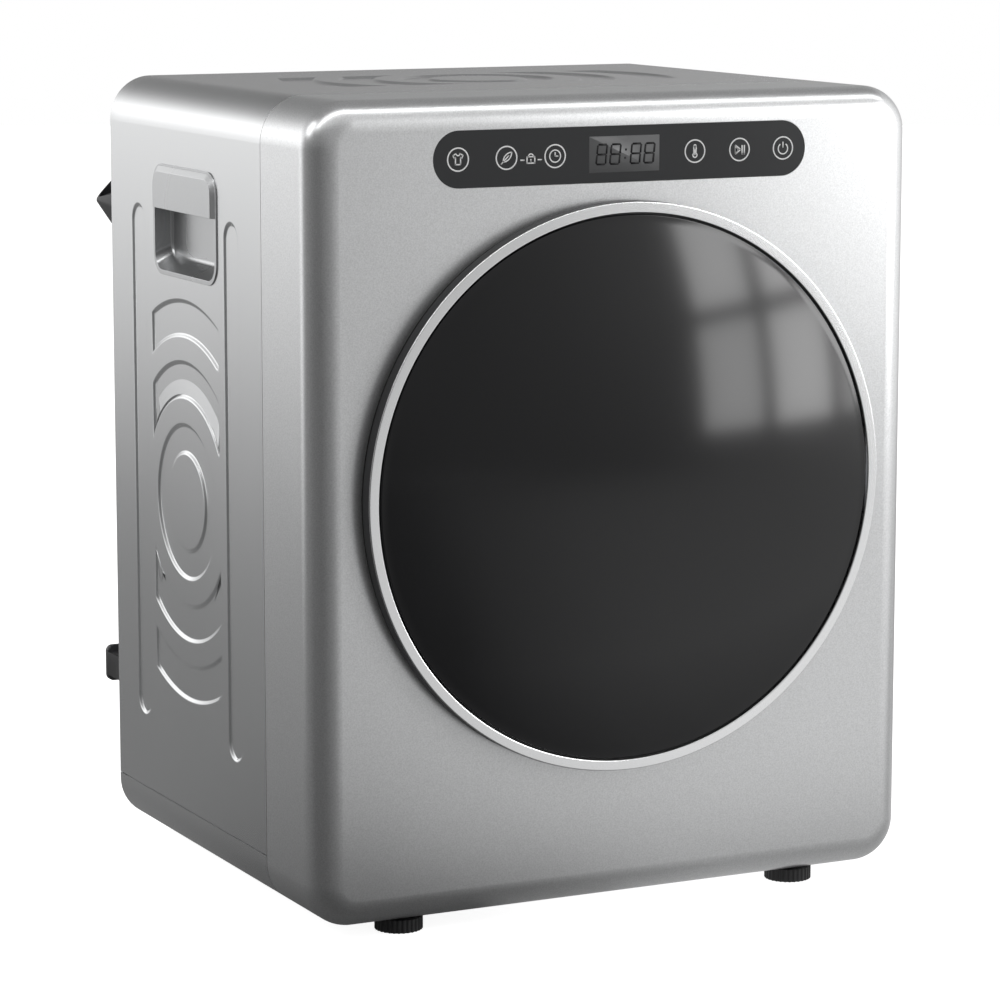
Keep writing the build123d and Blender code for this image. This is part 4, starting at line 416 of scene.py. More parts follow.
# %% Plastic, rubber and felt finishes
BLACK_GLASS = finish(
    "polished_black_lens",
    (0.006, 0.006, 0.007),
    0.13,
    grain=(300.0, 0.10),
    cloud=(3.0, 0.2),
    spread=0.03,
    specular=0.45,
)
PANEL_GLASS = finish(
    "touch_panel_black",
    (0.036, 0.037, 0.039),
    0.16,
    grain=(600.0, 0.06),
    cloud=(8.0, 0.05),
    spread=0.03,
    specular=0.35,
)
BLACK_PLASTIC = finish(
    "moulded_black_plastic",
    (0.030, 0.030, 0.032),
    0.45,
    grain=(1300.0, 0.35),
    bump=(0.35, 0.00006),
)
SMOKE_PLASTIC = finish(
    "smoked_bowl_plastic", (0.045, 0.047, 0.050), 0.14, grain=(700.0, 0.08), spread=0.04
)
RUBBER = finish(
    "black_rubber",
    (0.020, 0.020, 0.020),
    0.62,
    grain=(1500.0, 0.30),
    cloud=(20.0, 0.2),
    bump=(0.3, 0.00005),
)
FOOT_PLASTIC = finish(
    "foot_plastic", (0.022, 0.022, 0.023), 0.5, grain=(1400.0, 0.40), bump=(0.4, 0.00006)
)
WHITE_PLASTIC = finish(
    "white_plastic", (0.72, 0.72, 0.70), 0.38, grain=(1100.0, 0.05), bump=(0.12, 0.00004)
)
DUCT_PLASTIC = finish(
    "grey_duct_plastic", (0.40, 0.41, 0.42), 0.46, grain=(1100.0, 0.10), bump=(0.2, 0.00005)
)
FELT = finish(
    "wool_felt",
    (0.30, 0.29, 0.27),
    0.95,
    grain=(2200.0, 0.9),
    cloud=(60.0, 0.3),
    bump=(1.0, 0.0003),
    specular=0.1,
)
NET = finish("woven_net", (0.70, 0.70, 0.68), 0.6, grain=(1800.0, 0.3))
FOAM = finish(
    "pad_foam", (0.07, 0.07, 0.07), 0.9, grain=(1800.0, 0.8), bump=(0.9, 0.0002), specular=0.2
)
CERAMIC = finish(
    "heater_ceramic", (0.62, 0.61, 0.58), 0.6, grain=(900.0, 0.15), bump=(0.2, 0.00006)
)
THERMOSTAT = finish(
    "thermostat_body", (0.10, 0.055, 0.035), 0.5, grain=(1200.0, 0.3), bump=(0.3, 0.00005)
)
CAPACITOR = finish("capacitor_shell", (0.62, 0.62, 0.59), 0.35, grain=(900.0, 0.06))
BOARD = finish(
    "circuit_board", (0.012, 0.085, 0.032), 0.3, grain=(420.0, 0.5), cloud=(90.0, 0.3), coat=0.3
)
DISPLAY_CASE = finish("display_case", (0.10, 0.105, 0.105), 0.4, grain=(800.0, 0.1))
DISPLAY_GREY = finish(
    "display_window", (0.180, 0.182, 0.185), 0.30, grain=(2500.0, 0.10), spread=0.03, specular=0.3
)
ICON_WHITE = finish("printed_icon_white", (0.95, 0.95, 0.95), 0.4, grain=(1500.0, 0.06))
DIGIT_BLACK = finish(
    "display_digit_black", (0.008, 0.008, 0.009), 0.3, grain=(1200.0, 0.2), specular=0.2
)
POCKET_SILVER = finish(
    "silver_moulding",
    (0.45, 0.455, 0.46),
    0.28,
    metal=0.85,
    grain=(1500.0, 0.18),
    bump=(0.15, 0.00004),
)
print("finishes in all:", len(bpy.data.materials))

# %% [markdown]
# ## Dress the engineering nodes
#
# Most inner pieces, such as the motor, the drum or the blower, have their right shape already.
# They stay as they are, and their material slots get the finishes.

# %% Give each node its finish
FINISH_OF_SLOT = {
    "silver_front": SILVER_FRONT,
    "silver_steel": SILVER_WRAP,
    "zinc_steel": ZINC,
    "black_gloss": BLACK_GLASS,
    "black_plastic": BLACK_PLASTIC,
    "smoke_plastic": SMOKE_PLASTIC,
    "rubber_black": RUBBER,
    "foot_plastic": FOOT_PLASTIC,
    "drum_steel": DRUM_STEEL,
    "white_plastic": WHITE_PLASTIC,
    "machined_steel": MACHINED,
    "felt_grey": FELT,
    "bearing_bronze": BRONZE,
    "heater_ceramic": CERAMIC,
    "thermostat_body": THERMOSTAT,
    "duct_plastic": DUCT_PLASTIC,
    "stator_steel": STATOR,
    "board_green": BOARD,
    "display_grey": DISPLAY_CASE,
    "pad_foam": FOAM,
    "capacitor_shell": CAPACITOR,
    "mesh_fabric": FELT,
}
SLOT_OF_NODE = {row["node"]: row["material_slot"] for row in frame["record"]["subparts"]}
for node_name, node in frame["nodes"].items():
    dressed = FINISH_OF_SLOT[SLOT_OF_NODE[node_name]]
    if not node.material_slots:
        node.data.materials.append(dressed)
    for place in node.material_slots:
        place.material = dressed
print("dressed nodes:", len(frame["nodes"]))

# %% [markdown]
# ## Front panel
#
# The front is one moulding: a flat face whose edge rolls back all round, with a round doorway
# and a shallow recess for the touch panel. A cube gives the block, and two bevels give it its
# form, first the four long corners and then the rim of the face. The face itself is then cut
# out and filled again between its outline and the holes, which keeps it perfectly flat.


# %% Outlines that lie flat in a plane
def round_outline(bm, x, z, radius, y, segments=128):
    """Edges of a circle that faces the front."""
    turn = Matrix.Translation((x, y, z)) @ Matrix.Rotation(math.pi / 2, 4, "X")
    made = bmesh.ops.create_circle(bm, segments=segments, radius=radius, matrix=turn)
    return list({edge for vert in made["verts"] for edge in vert.link_edges})


def rounded_plate(bm, lay, radius, segments):
    """Flat square that a matrix lays out, with round corners."""
    made = bmesh.ops.create_grid(bm, x_segments=1, y_segments=1, size=0.5, matrix=lay)
    if radius <= 0.0:
        return made["verts"][0].link_faces[0]
    rounded = round_off(bm, made["verts"], radius, segments, "VERTICES")
    return max(rounded["verts"][0].link_faces, key=lambda face: face.calc_area())


def plate(bm, x, z, width, height, radius, y, segments=12):
    """Flat face with round corners that faces the front."""
    turn = Matrix.Translation((x, y, z)) @ Matrix.Rotation(math.pi / 2, 4, "X")
    return rounded_plate(bm, turn @ Matrix.Diagonal((width, height, 1.0, 1.0)), radius, segments)


def hollow_outline(bm, *where, **how):
    """Edges of such a plate, without its face."""
    face = plate(bm, *where, **how)
    edges = list(face.edges)
    bmesh.ops.delete(bm, geom=[face], context="FACES_ONLY")
    return edges


# %% Form the front shell
TONGUE_HALF = 0.0018
TONGUE_Z = (0.0197, 0.0323)
FRONT_WALL = 0.0022
FACE_GUARD = 0.0004
FACE_AREA = 0.05
TO_FRONT = -0.9999
HAIR = 1e-5
FRONT_BACK = FACE_Y + FRONT_DEPTH
bm = bmesh.new()
middle = Vector((0.0, (FACE_Y + FRONT_BACK) / 2, (FRONT_LOW.z + FRONT_HIGH.z) / 2))
extent = Vector((2 * HALF_WIDTH, FRONT_DEPTH, FRONT_HIGH.z - FRONT_LOW.z))
block_at = Matrix.Translation(middle) @ Matrix.Diagonal((*extent, 1.0))
bmesh.ops.create_cube(bm, size=1.0, matrix=block_at)
long_edges = [e for e in bm.edges if abs(e.verts[0].co.y - e.verts[1].co.y) > 0.5 * FRONT_DEPTH]
round_off(bm, long_edges, CORNER_R, 20, clamp=False)
rear = [f for f in bm.faces if f.calc_center_median().y > FRONT_BACK - HAIR]
bmesh.ops.delete(bm, geom=rear, context="FACES_ONLY")
face_rim = [e for e in bm.edges if all(v.co.y < FACE_Y + HAIR for v in e.verts)]
round_off(bm, face_rim, FACE_FILLET, 18, clamp=False)
flat = [f for f in bm.faces if f.normal.y < TO_FRONT and f.calc_area() > FACE_AREA]
bmesh.ops.inset_region(bm, faces=flat, thickness=FACE_GUARD, use_even_offset=True)
flat = [f for f in bm.faces if f.normal.y < TO_FRONT and f.calc_area() > FACE_AREA]
bmesh.ops.delete(bm, geom=flat, context="FACES_ONLY")
outline = [e for e in bm.edges if e.is_boundary and all(v.co.y < FACE_Y + HAIR for v in e.verts)]
doorway = round_outline(bm, 0.0, DOOR_Z, OPENING_R, FACE_Y)
PILL_WIDTH, PILL_HEIGHT, PILL_POCKET = 0.3056, 0.0414, 0.0018
ROUND_END = 0.4999
pill = hollow_outline(
    bm, 0.0, PILL_Z, PILL_WIDTH, PILL_HEIGHT, PILL_HEIGHT * ROUND_END, FACE_Y, segments=24
)
HINGE_X = (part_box("hinge_pin")[0].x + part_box("hinge_pin")[1].x) / 2
tongues = []
for side in (-1, 1):
    tongue_z = DOOR_Z + side * sum(TONGUE_Z) / 2
    tongues += hollow_outline(
        bm, HINGE_X, tongue_z, 2 * TONGUE_HALF, TONGUE_Z[1] - TONGUE_Z[0], 0.0, FACE_Y
    )
bmesh.ops.triangle_fill(
    bm,
    edges=outline + doorway + pill + tongues,
    use_beauty=True,
    use_dissolve=False,
    normal=(0, -1, 0),
)
print("front shell so far:", len(bm.faces), "faces")

# %% [markdown]
# The recess is the pill's outline pushed back and closed. Behind the seam, a narrower lip goes
# on under the sheet, so that the joint shows as a thin line with something solid behind it.

# %% Sink the recess and add the hidden lip
sunk, floor_edges = extrude_rim(bm, pill)
bmesh.ops.translate(bm, verts=sunk, vec=(0.0, PILL_POCKET, 0.0))
bmesh.ops.contextual_create(bm, geom=floor_edges)
open_rims = [e for e in bm.edges if e.is_boundary]
back_rim = [e for e in open_rims if all(v.co.y > FRONT_BACK - HAIR for v in e.verts)]
for inward, back in ((LIP_INSET, 0.0), (0.0, LIP)):
    moved, back_rim = extrude_rim(bm, back_rim)
    shrink = Matrix.Diagonal((1 - inward / HALF_WIDTH, 1.0, 1 - 2 * inward / extent.z, 1.0))
    about = Matrix.Translation(-middle)
    bmesh.ops.transform(bm, matrix=shrink, space=about, verts=moved)
    bmesh.ops.translate(bm, verts=moved, vec=(0.0, back, 0.0))
bmesh.ops.recalc_face_normals(bm, faces=bm.faces)
outward = max(bm.faces, key=lambda f: f.calc_center_median().z)
if outward.normal.z < 0:
    bmesh.ops.reverse_faces(bm, faces=bm.faces)
front_shell = to_piece(
    "front_shell", bm, SILVER_FRONT, replaces=["front_panel"]
)
for polygon in front_shell.data.polygons:
    polygon.use_smooth = not (len(polygon.vertices) == 3 and polygon.normal.y < TO_FRONT)
thicken(front_shell, "wall", FRONT_WALL, even=True)
flat_sides(front_shell)

# %% [markdown]
# ## Wrap with pressed pattern
#
# One sheet of steel goes up one side, over the top and down the other. Its grooves are pressed:
# each has a flat floor and soft shoulders, like cloth laid over a coin. The sheet is drawn flat,
# with its length along X. Each groove is first a plain flat shape, and narrow insets then walk
# down its shoulder step by step. The ground around the grooves is filled in one go, and at the
# end one function bends the flat sheet to its place.

# %% Measures of the sheet and its grooves
EMBOSS = 0.0016
SHOULDER = 0.0032
GUARD = 0.0003
STEPS = 6
TIP_CLEAR = 0.0055
DISC_BAND = (0.036, 0.061)
ARC_BANDS = ((0.079, 0.109), (0.126, 0.156))
BAND_HALF = 0.0685
FLUTE_OFFSET = 0.094
FLUTE_WIDTH = 0.029
FLUTE_RUN = (0.1095, 0.5165)
PATTERN_Z = 0.294
PATTERN_Y = (FACE_Y + FRONT_DEPTH + FACE_Y + CABINET_DEPTH) / 2
SIDE_RUN = WRAP_HIGH.z - CORNER_R - WRAP_LOW.z
CORNER_RUN = CORNER_R * math.pi / 2
TOP_RUN = 2 * (HALF_WIDTH - CORNER_R)
SHEET_RUN = 2 * SIDE_RUN + 2 * CORNER_RUN + TOP_RUN
WRAP_DEPTH = WRAP_HIGH.y - WRAP_LOW.y
CORNER_Z = WRAP_HIGH.z - CORNER_R
CORNER_X = HALF_WIDTH - CORNER_R
print("the flat sheet is", round(SHEET_RUN, 3), "m long")

# %% [markdown]
# The disc's groove is a ring round an island. Each arc is a full ring trimmed by two planes,
# and each flute is a plate with round ends. All lie in the plane of the flat sheet. Points that
# crowd a tip are dissolved first, because an inset folds where an edge is shorter than itself.


# %% Helpers that draw the flat shapes
def flat_plate(bm, centre, width, height, radius, segments=10):
    """Flat face with round corners in the XY plane."""
    lay = Matrix.Translation(centre) @ Matrix.Diagonal((width, height, 1.0, 1.0))
    return rounded_plate(bm, lay, radius, segments)


def ring_faces(bm, centre, band, segments=144):
    """Flat ring between two radii, with its island left open."""
    low, high = (centre + Vector((radius, 0.0, 0.0)) for radius in band)
    ends = [bm.verts.new(low), bm.verts.new(high)]
    edge = bm.edges.new(ends)
    old = set(bm.faces)
    bmesh.ops.spin(
        bm,
        geom=ends + [edge],
        cent=centre,
        axis=(0.0, 0.0, 1.0),
        angle=math.tau,
        steps=segments,
        use_merge=True,
    )
    return [face for face in bm.faces if face not in old]


def cut_ring(bm, centre, band, half):
    """Ring trimmed on both sides, which leaves an upper and a lower arc."""
    faces = ring_faces(bm, centre, band)
    for side in (-1.0, 1.0):
        geom = list({part for face in faces for part in (face, *face.edges, *face.verts)})
        slice_at(bm, geom, centre + Vector((0.0, side * half, 0.0)), (0.0, side, 0.0), clear=True)
        faces = [face for face in faces if face.is_valid]
        near = {face for face in bm.faces if (face.calc_center_median() - centre).length < band[1]}
        faces = [
            face
            for face in near
            if (face.calc_center_median() - centre).length > band[0] - 0.002
        ]
    return faces


def press(bm, faces):
    """Walk down a shoulder with narrow insets, from a flat guard to a flat floor."""
    for face in faces:
        if face.normal.z < 0.0:
            face.normal_flip()
    guard = []
    depth_before = 0.0
    for step in range(STEPS + 2):
        t = min(step / STEPS, 1.0)
        depth = EMBOSS * t * t * (3.0 - 2.0 * t)
        width = GUARD if step in (0, STEPS + 1) else SHOULDER / STEPS
        frame_faces = bmesh.ops.inset_region(
            bm, faces=faces, thickness=width, use_even_offset=True, use_boundary=True
        )["faces"]
        guard = guard or frame_faces
        floor = list({vert for face in faces for vert in face.verts})
        bmesh.ops.translate(bm, verts=floor, vec=(0.0, 0.0, depth_before - depth))
        depth_before = depth
    if len(faces) == 1:
        rim = list(faces[0].edges)
        bmesh.ops.delete(bm, geom=faces, context="FACES_ONLY")
        bmesh.ops.triangle_fill(bm, edges=rim, use_beauty=True, normal=(0, 0, 1))
    return {edge for face in guard for edge in face.edges if edge.is_boundary}


# %% Press the grooves into the flat sheet
bm = bmesh.new()
MIDDLE_Y = (WRAP_LOW.y + WRAP_HIGH.y) / 2
ground = []
pattern_at = PATTERN_Z - WRAP_LOW.z
flute_at = sum(FLUTE_RUN) / 2 - WRAP_LOW.z
flute_long = FLUTE_RUN[1] - FLUTE_RUN[0]
for at, flutes_at in (
    (pattern_at, flute_at),
    (SHEET_RUN / 2, None),
    (SHEET_RUN - pattern_at, SHEET_RUN - flute_at),
):
    centre = Vector((at, PATTERN_Y, 0.0))
    grooves = [ring_faces(bm, centre, DISC_BAND, segments=96)]
    for band in ARC_BANDS:
        arcs = cut_ring(bm, centre, band, BAND_HALF)
        upper = [face for face in arcs if face.calc_center_median().x > at]
        lower = [face for face in arcs if face not in upper]
        for arc in (upper, lower):
            whole = bmesh.ops.dissolve_faces(bm, faces=arc)["region"][0]
            tips = []
            for side in (-1.0, 1.0):
                cut_y = PATTERN_Y + side * BAND_HALF
                on_cut = [vert for vert in whole.verts if abs(vert.co.y - cut_y) < 1e-6]
                on_cut.sort(key=lambda vert: abs(vert.co.x - at))
                tips += [on_cut[0], on_cut[-1]]
                crowd = set(on_cut)
                for vert in whole.verts:
                    if min((vert.co - tip.co).length for tip in tips) < TIP_CLEAR:
                        crowd.add(vert)
                bmesh.ops.dissolve_verts(bm, verts=list(crowd - set(tips)))
                whole = tips[0].link_faces[0]
            grooves.append(list(tips[0].link_faces))
    if flutes_at is not None:
        for side in (-1.0, 1.0):
            spot = Vector((flutes_at, PATTERN_Y + side * FLUTE_OFFSET, 0.0))
            grooves.append([flat_plate(bm, spot, flute_long, FLUTE_WIDTH, FLUTE_WIDTH * 0.497)])
    edges = [edge for faces in grooves for edge in press(bm, faces)]
    island = [e for e in edges if (e.verts[0].co - centre).length < DISC_BAND[0] + 0.001]
    bmesh.ops.triangle_fill(bm, edges=island, use_beauty=True, normal=(0, 0, 1))
    ground += [edge for edge in edges if edge not in island]
print("grooves pressed:", len(bm.faces), "faces")

# %% [markdown]
# Each handle looks through a window with chamfered corners. Window, grooves and the sheet's own
# outline are then filled as one flat ground, and lines are cut where the sheet will bend, with
# one more line just outside each bend, so that the flats stay flat up to it.

# %% Fill the ground and cut the lines of the bends
HANDLE_LOW_AT, HANDLE_HIGH_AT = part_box("side_handle_left")
HANDLE_Y = (HANDLE_LOW_AT.y + HANDLE_HIGH_AT.y) / 2
HANDLE_Z = (HANDLE_LOW_AT.z + HANDLE_HIGH_AT.z) / 2
WINDOW = (0.0610, 0.0395)
WINDOW_CUT = 0.0064
for at in (HANDLE_Z - WRAP_LOW.z, SHEET_RUN - (HANDLE_Z - WRAP_LOW.z)):
    centre = Vector((at, HANDLE_Y, 0.0))
    window = flat_plate(bm, centre, 2 * WINDOW[1], 2 * WINDOW[0], WINDOW_CUT, segments=1)
    ground += list(window.edges)
    bmesh.ops.delete(bm, geom=[window], context="FACES_ONLY")
sheet_face = flat_plate(bm, (SHEET_RUN / 2, MIDDLE_Y, 0.0), SHEET_RUN, WRAP_DEPTH, 0.0)
ground += list(sheet_face.edges)
bmesh.ops.delete(bm, geom=[sheet_face], context="FACES_ONLY")
bmesh.ops.triangle_fill(bm, edges=ground, use_beauty=True, normal=(0, 0, 1))
BEND_STEPS = 18
BEND_GUARD = 0.0006
for start in (SIDE_RUN, SIDE_RUN + CORNER_RUN + TOP_RUN):
    lines = [start + CORNER_RUN * step / BEND_STEPS for step in range(BEND_STEPS + 1)]
    for s in (start - BEND_GUARD, *lines, start + CORNER_RUN + BEND_GUARD):
        slice_at(bm, [*bm.faces, *bm.edges, *bm.verts], (s, 0.0, 0.0), (1.0, 0.0, 0.0))
print("sheet with windows:", len(bm.faces), "faces")


# %% Bend the sheet
def bent(s, y, lift):
    """Place of a point of the flat sheet: up one side, over the top and down the other."""
    half = s if s <= SHEET_RUN / 2 else SHEET_RUN - s
    hand = -1.0 if s <= SHEET_RUN / 2 else 1.0
    if half <= SIDE_RUN:
        return Vector((hand * (HALF_WIDTH + lift), y, WRAP_LOW.z + half))
    if half <= SIDE_RUN + CORNER_RUN:
        a = (half - SIDE_RUN) / CORNER_R
        out = Vector((hand * math.cos(a), 0.0, math.sin(a)))
        return Vector((hand * CORNER_X, y, CORNER_Z)) + (CORNER_R + lift) * out
    x = hand * (CORNER_X - (half - SIDE_RUN - CORNER_RUN))
    return Vector((x, y, WRAP_HIGH.z + lift))


for vert in bm.verts:
    vert.co = bent(*vert.co)
tidy_normals(bm)
topmost = max(bm.faces, key=lambda f: f.calc_center_median().z)
if topmost.normal.z < 0:
    bmesh.ops.reverse_faces(bm, faces=bm.faces)
wrap_sheet = to_piece(
    "wrap_sheet", bm, SILVER_WRAP, replaces=["cabinet_wrap"], crisp=60
)
LEVEL_NORMAL = 0.99999
GROUND_EDGE = 1.2 * GUARD
for polygon in wrap_sheet.data.polygons:
    level = max(abs(part) for part in polygon.normal) > LEVEL_NORMAL
    corners = [wrap_sheet.data.vertices[i].co for i in polygon.vertices]
    shortest = min((p - q).length for p, q in zip(corners, corners[1:] + corners[:1]))
    polygon.use_smooth = not (level and (len(corners) == 3 or shortest > GROUND_EDGE))
thicken(wrap_sheet, "sheet", SHEET)
flat_sides(wrap_sheet)

# %% [markdown]
# ## Pieces that keep the engineering form
#
# The base pan, the back, the hooks, the gland, the collar and the feet are right as engineered,
# but their edges are knife sharp. A real folded sheet or moulding has a small round there,
# which catches the light as a thin line. So each gets a merged copy of its solid, with a live
# Bevel.


# %% Copy a solid and soften its edges
def softened(node, material, width, segments=2, body="cabinet", name=None, angle=35.0, flat=1.0):
    bm = bmesh.new()
    bm.from_mesh(frame["nodes"][node].data)
    bmesh.ops.remove_doubles(bm, verts=bm.verts, dist=2e-6)
    if flat > 0.0:
        bmesh.ops.dissolve_limit(
            bm,
            angle_limit=math.radians(flat),
            use_dissolve_boundaries=False,
            verts=bm.verts,
            edges=bm.edges,
            delimit={"NORMAL"},
        )
    piece = to_piece(
        name or node + "_finished",
        bm,
        material,
        body=body,
        replaces=[node],
        crisp=angle,
    )
    if width > 0.0:
        soften(piece, width, segments=segments, angle=angle)
    return flat_sides(piece)


# %% Soften the outer metalwork and mouldings
softened("base_pan", SILVER_WRAP, 0.0003)
softened("rear_panel", ZINC, 0.0002)
softened("cord_hooks", BLACK_PLASTIC, 0.0, flat=0.0)
softened("cord_gland", BLACK_PLASTIC, 0.0004)
softened("exhaust_collar", DUCT_PLASTIC, 0.0004)
for foot in ("foot_front_left", "foot_front_right", "foot_rear_left", "foot_rear_right"):
    softened(foot, FOOT_PLASTIC, 0.0003, body=foot)

# %% [markdown]
# ## Carry handles
#
# Each side has a cup that the fingers go into, with a low rim all round and a thicker hood over
# its upper part to lift by. Both are drawn flat, as if lying on a table with the outside up,
# and only then turned to their side. The rim is a plate that is raised, inset and pushed in.
# The cup's walls are nearly upright, but for the lower one, which leans at about sixty degrees,
# and the hood slopes at about thirty. Live bevels give the edges their thin line of light.

# %% Mould the handles
HANDLE_SIZE = (0.128, 0.085)
HANDLE_CORNER = 0.017
RIM_PROUD, HOOD_PROUD = 0.0010, 0.0036
RIM_WIDE = 0.0033
HOOD_HIGH = 0.034
HOOD_INSET, HOOD_SLOPE = 0.0015, 0.0044
CUP_DEPTH, CUP_DRAFT, CUP_RISE = 0.014, 0.0008, 0.0080
CUP_ROUND = 0.0026
HANDLE_WALL = 0.0014


def lift_lid(bm, face, height, inset=0.0):
    """Raise or sink a flat face on walls of its own, with a sloping frame round it."""
    bmesh.ops.inset_region(
        bm, faces=[face], thickness=max(inset, 1e-5), use_even_offset=True, use_boundary=True
    )
    bmesh.ops.translate(bm, verts=list(face.verts), vec=(0.0, 0.0, height))
    return face


def turned_to_side(bm, side):
    """Stand a moulding that was drawn flat up against a side of the cabinet."""
    stand = Matrix(
        (
            (0.0, 0.0, side, side * HALF_WIDTH),
            (1.0, 0.0, 0.0, HANDLE_Y),
            (0.0, 1.0, 0.0, HANDLE_Z),
            (0.0, 0.0, 0.0, 1.0),
        )
    )
    bmesh.ops.transform(bm, matrix=stand, verts=bm.verts)
    bmesh.ops.recalc_face_normals(bm, faces=bm.faces)
    outside = max(bm.faces, key=lambda f: f.calc_center_median().x * side)
    if outside.normal.x * side < 0:
        bmesh.ops.reverse_faces(bm, faces=bm.faces)


def cup_mesh(side):
    bm = bmesh.new()
    lid = flat_plate(bm, Vector((0.0, 0.0, 0.0)), *HANDLE_SIZE, HANDLE_CORNER, segments=12)
    if lid.normal.z < 0.0:
        lid.normal_flip()
    lift_lid(bm, lid, RIM_PROUD, 0.0002)
    lift_lid(bm, lid, 0.0, RIM_WIDE)
    lift_lid(bm, lid, -(CUP_DEPTH + RIM_PROUD), CUP_DRAFT)
    top = max(vert.co.y for vert in lid.verts)
    high = top - min(vert.co.y for vert in lid.verts)
    shrink = Matrix.Diagonal((1.0, 1.0 - CUP_RISE / high, 1.0, 1.0))
    about = Matrix.Translation((0.0, -top, 0.0))
    bmesh.ops.transform(bm, matrix=shrink, space=about, verts=list(lid.verts))
    round_off(bm, list(lid.edges), CUP_ROUND, 5)
    turned_to_side(bm, side)
    return bm


def hood_mesh(side):
    bm = bmesh.new()
    size = [length - 2 * HOOD_INSET for length in HANDLE_SIZE]
    foot = Vector((0.0, 0.0, RIM_PROUD - 0.0003))
    lid = flat_plate(bm, foot, *size, HANDLE_CORNER - HOOD_INSET, segments=12)
    kept = bmesh.ops.extrude_face_region(bm, geom=[lid], use_keep_orig=True)["geom"]
    lid = only(kept, bmesh.types.BMFace)[0]
    bmesh.ops.translate(bm, verts=list(lid.verts), vec=(0.0, 0.0, 0.0004))
    lift_lid(bm, lid, HOOD_PROUD - RIM_PROUD - 0.0001, HOOD_SLOPE)
    lower = HANDLE_SIZE[1] / 2 - HOOD_HIGH
    everything = [*bm.faces, *bm.edges, *bm.verts]
    cut = slice_at(bm, everything, (0.0, lower, 0.0), (0.0, -1.0, 0.0), clear=True)
    bmesh.ops.holes_fill(bm, edges=only(cut, bmesh.types.BMEdge))
    turned_to_side(bm, side)
    return bm


for side, hand in ((-1, "left"), (1, "right")):
    cup = to_piece(
        f"handle_cup_{hand}",
        cup_mesh(side),
        POCKET_SILVER,
        replaces=[f"side_handle_{hand}"],
    )
    thicken(cup, "wall", HANDLE_WALL)
    soften(cup, 0.0004, segments=3)
    flat_sides(cup)
    hood = to_piece(f"handle_hood_{hand}", hood_mesh(side), POCKET_SILVER)
    soften(hood, 0.0006, segments=3, angle=22.0)
    flat_sides(hood)

# %% [markdown]
# ## The round door
#
# Ring, lens and gasket are turned about one axis, so each is a profile and a spin; the inner
# frame and the bowl keep their engineering form. The ring is a satin trim: a gap behind it and a
# side wall that are both made dark with painted shade, a flat face and a thin bright inner edge.
# The lens is a shallow dome of polished black plastic.

# %% Turn the ring
RING_FRONT, RING_BACK = RING_LOW.y, RING_HIGH.y
RING_BORE = RING_R - 0.0078
RING_WALL = 0.002
EDGE = 0.0009
profile = [(RING_R - RING_WALL, RING_BACK), (RING_R, RING_BACK)]
profile += arc_points((RING_R - EDGE, RING_FRONT + EDGE), EDGE, 0, -90, 7)
profile += arc_points((RING_BORE + EDGE, RING_FRONT + EDGE), EDGE, 270, 180, 7)
profile += [(RING_BORE, RING_BACK), (RING_BORE + RING_WALL, RING_BACK)]
profile += [(RING_BORE + RING_WALL, RING_FRONT + RING_WALL)]
profile += [(RING_R - RING_WALL, RING_FRONT + RING_WALL)]
bm = spun(profile, steps=240)
NOTCH_HALF = 0.033
NOTCH_WIDE = 0.008
NOTCH_FRONT = 0.0019


def notched(bm, before):
    """Leave out the faces behind a depth where the hinge stands in the ring."""
    gone = []
    for face in bm.faces:
        spot = face.calc_center_median()
        in_notch = spot.x > HINGE_X - NOTCH_WIDE and abs(spot.z - DOOR_Z) < NOTCH_HALF
        if in_notch and spot.y > before:
            gone.append(face)
    bmesh.ops.delete(bm, geom=gone, context="FACES")
    return bm


notched(bm, RING_FRONT + NOTCH_FRONT)
door_trim = to_piece(
    "door_trim_ring", bm, SILVER_RING, body="door", replaces=["door_ring"]
)
flat_sides(door_trim)

# %% [markdown]
# The ring's side wall is wrapped by a black skirt, which is painted shade on that wall. A black
# rubber strip on the front panel behind it is the painted shadow in the gap between the panel
# and the ring.

# %% Paint shade on the ring's side and a shadow in the gap behind it
# Black skirt over the ring's side wall: painted shade on that wall.
SKIRT_IN, SKIRT_OUT = RING_R - 0.0004, RING_R + 0.00015
SKIRT_FRONT = RING_FRONT + 0.0014
profile = [(SKIRT_IN, SKIRT_FRONT), (SKIRT_OUT, SKIRT_FRONT)]
profile += [(SKIRT_OUT, RING_BACK), (SKIRT_IN, RING_BACK)]
bm = notched(spun(profile, steps=240), RING_FRONT)
to_piece("door_ring_painted_shade", bm, BLACK_PLASTIC, body="door")
# Black strip on the panel under the ring's edge: painted shadow in the gap.
STRIP_IN, STRIP_OUT = 0.2035, 0.2098
STRIP_SUNK, STRIP_PROUD = 0.0002, 0.0008
profile = [(STRIP_IN, FACE_Y + STRIP_SUNK), (STRIP_OUT, FACE_Y + STRIP_SUNK)]
profile += [(STRIP_OUT, FACE_Y - STRIP_PROUD), (STRIP_IN, FACE_Y - STRIP_PROUD)]
bm = notched(spun(profile, steps=240), FACE_Y - 2 * STRIP_PROUD)
to_piece("painted_shadow_strip", bm, RUBBER)

# %% Turn the domed lens
LENS_R = RING_BORE - 0.0015
DOME_RISE = 0.028
DOME_R = (LENS_R**2 + DOME_RISE**2) / (2 * DOME_RISE)
LENS_EDGE = 0.0012
LENS_WALL = 0.003


def dome_y(radius):
    return LENS_LOW.y + DOME_R - math.sqrt(DOME_R**2 - radius**2)


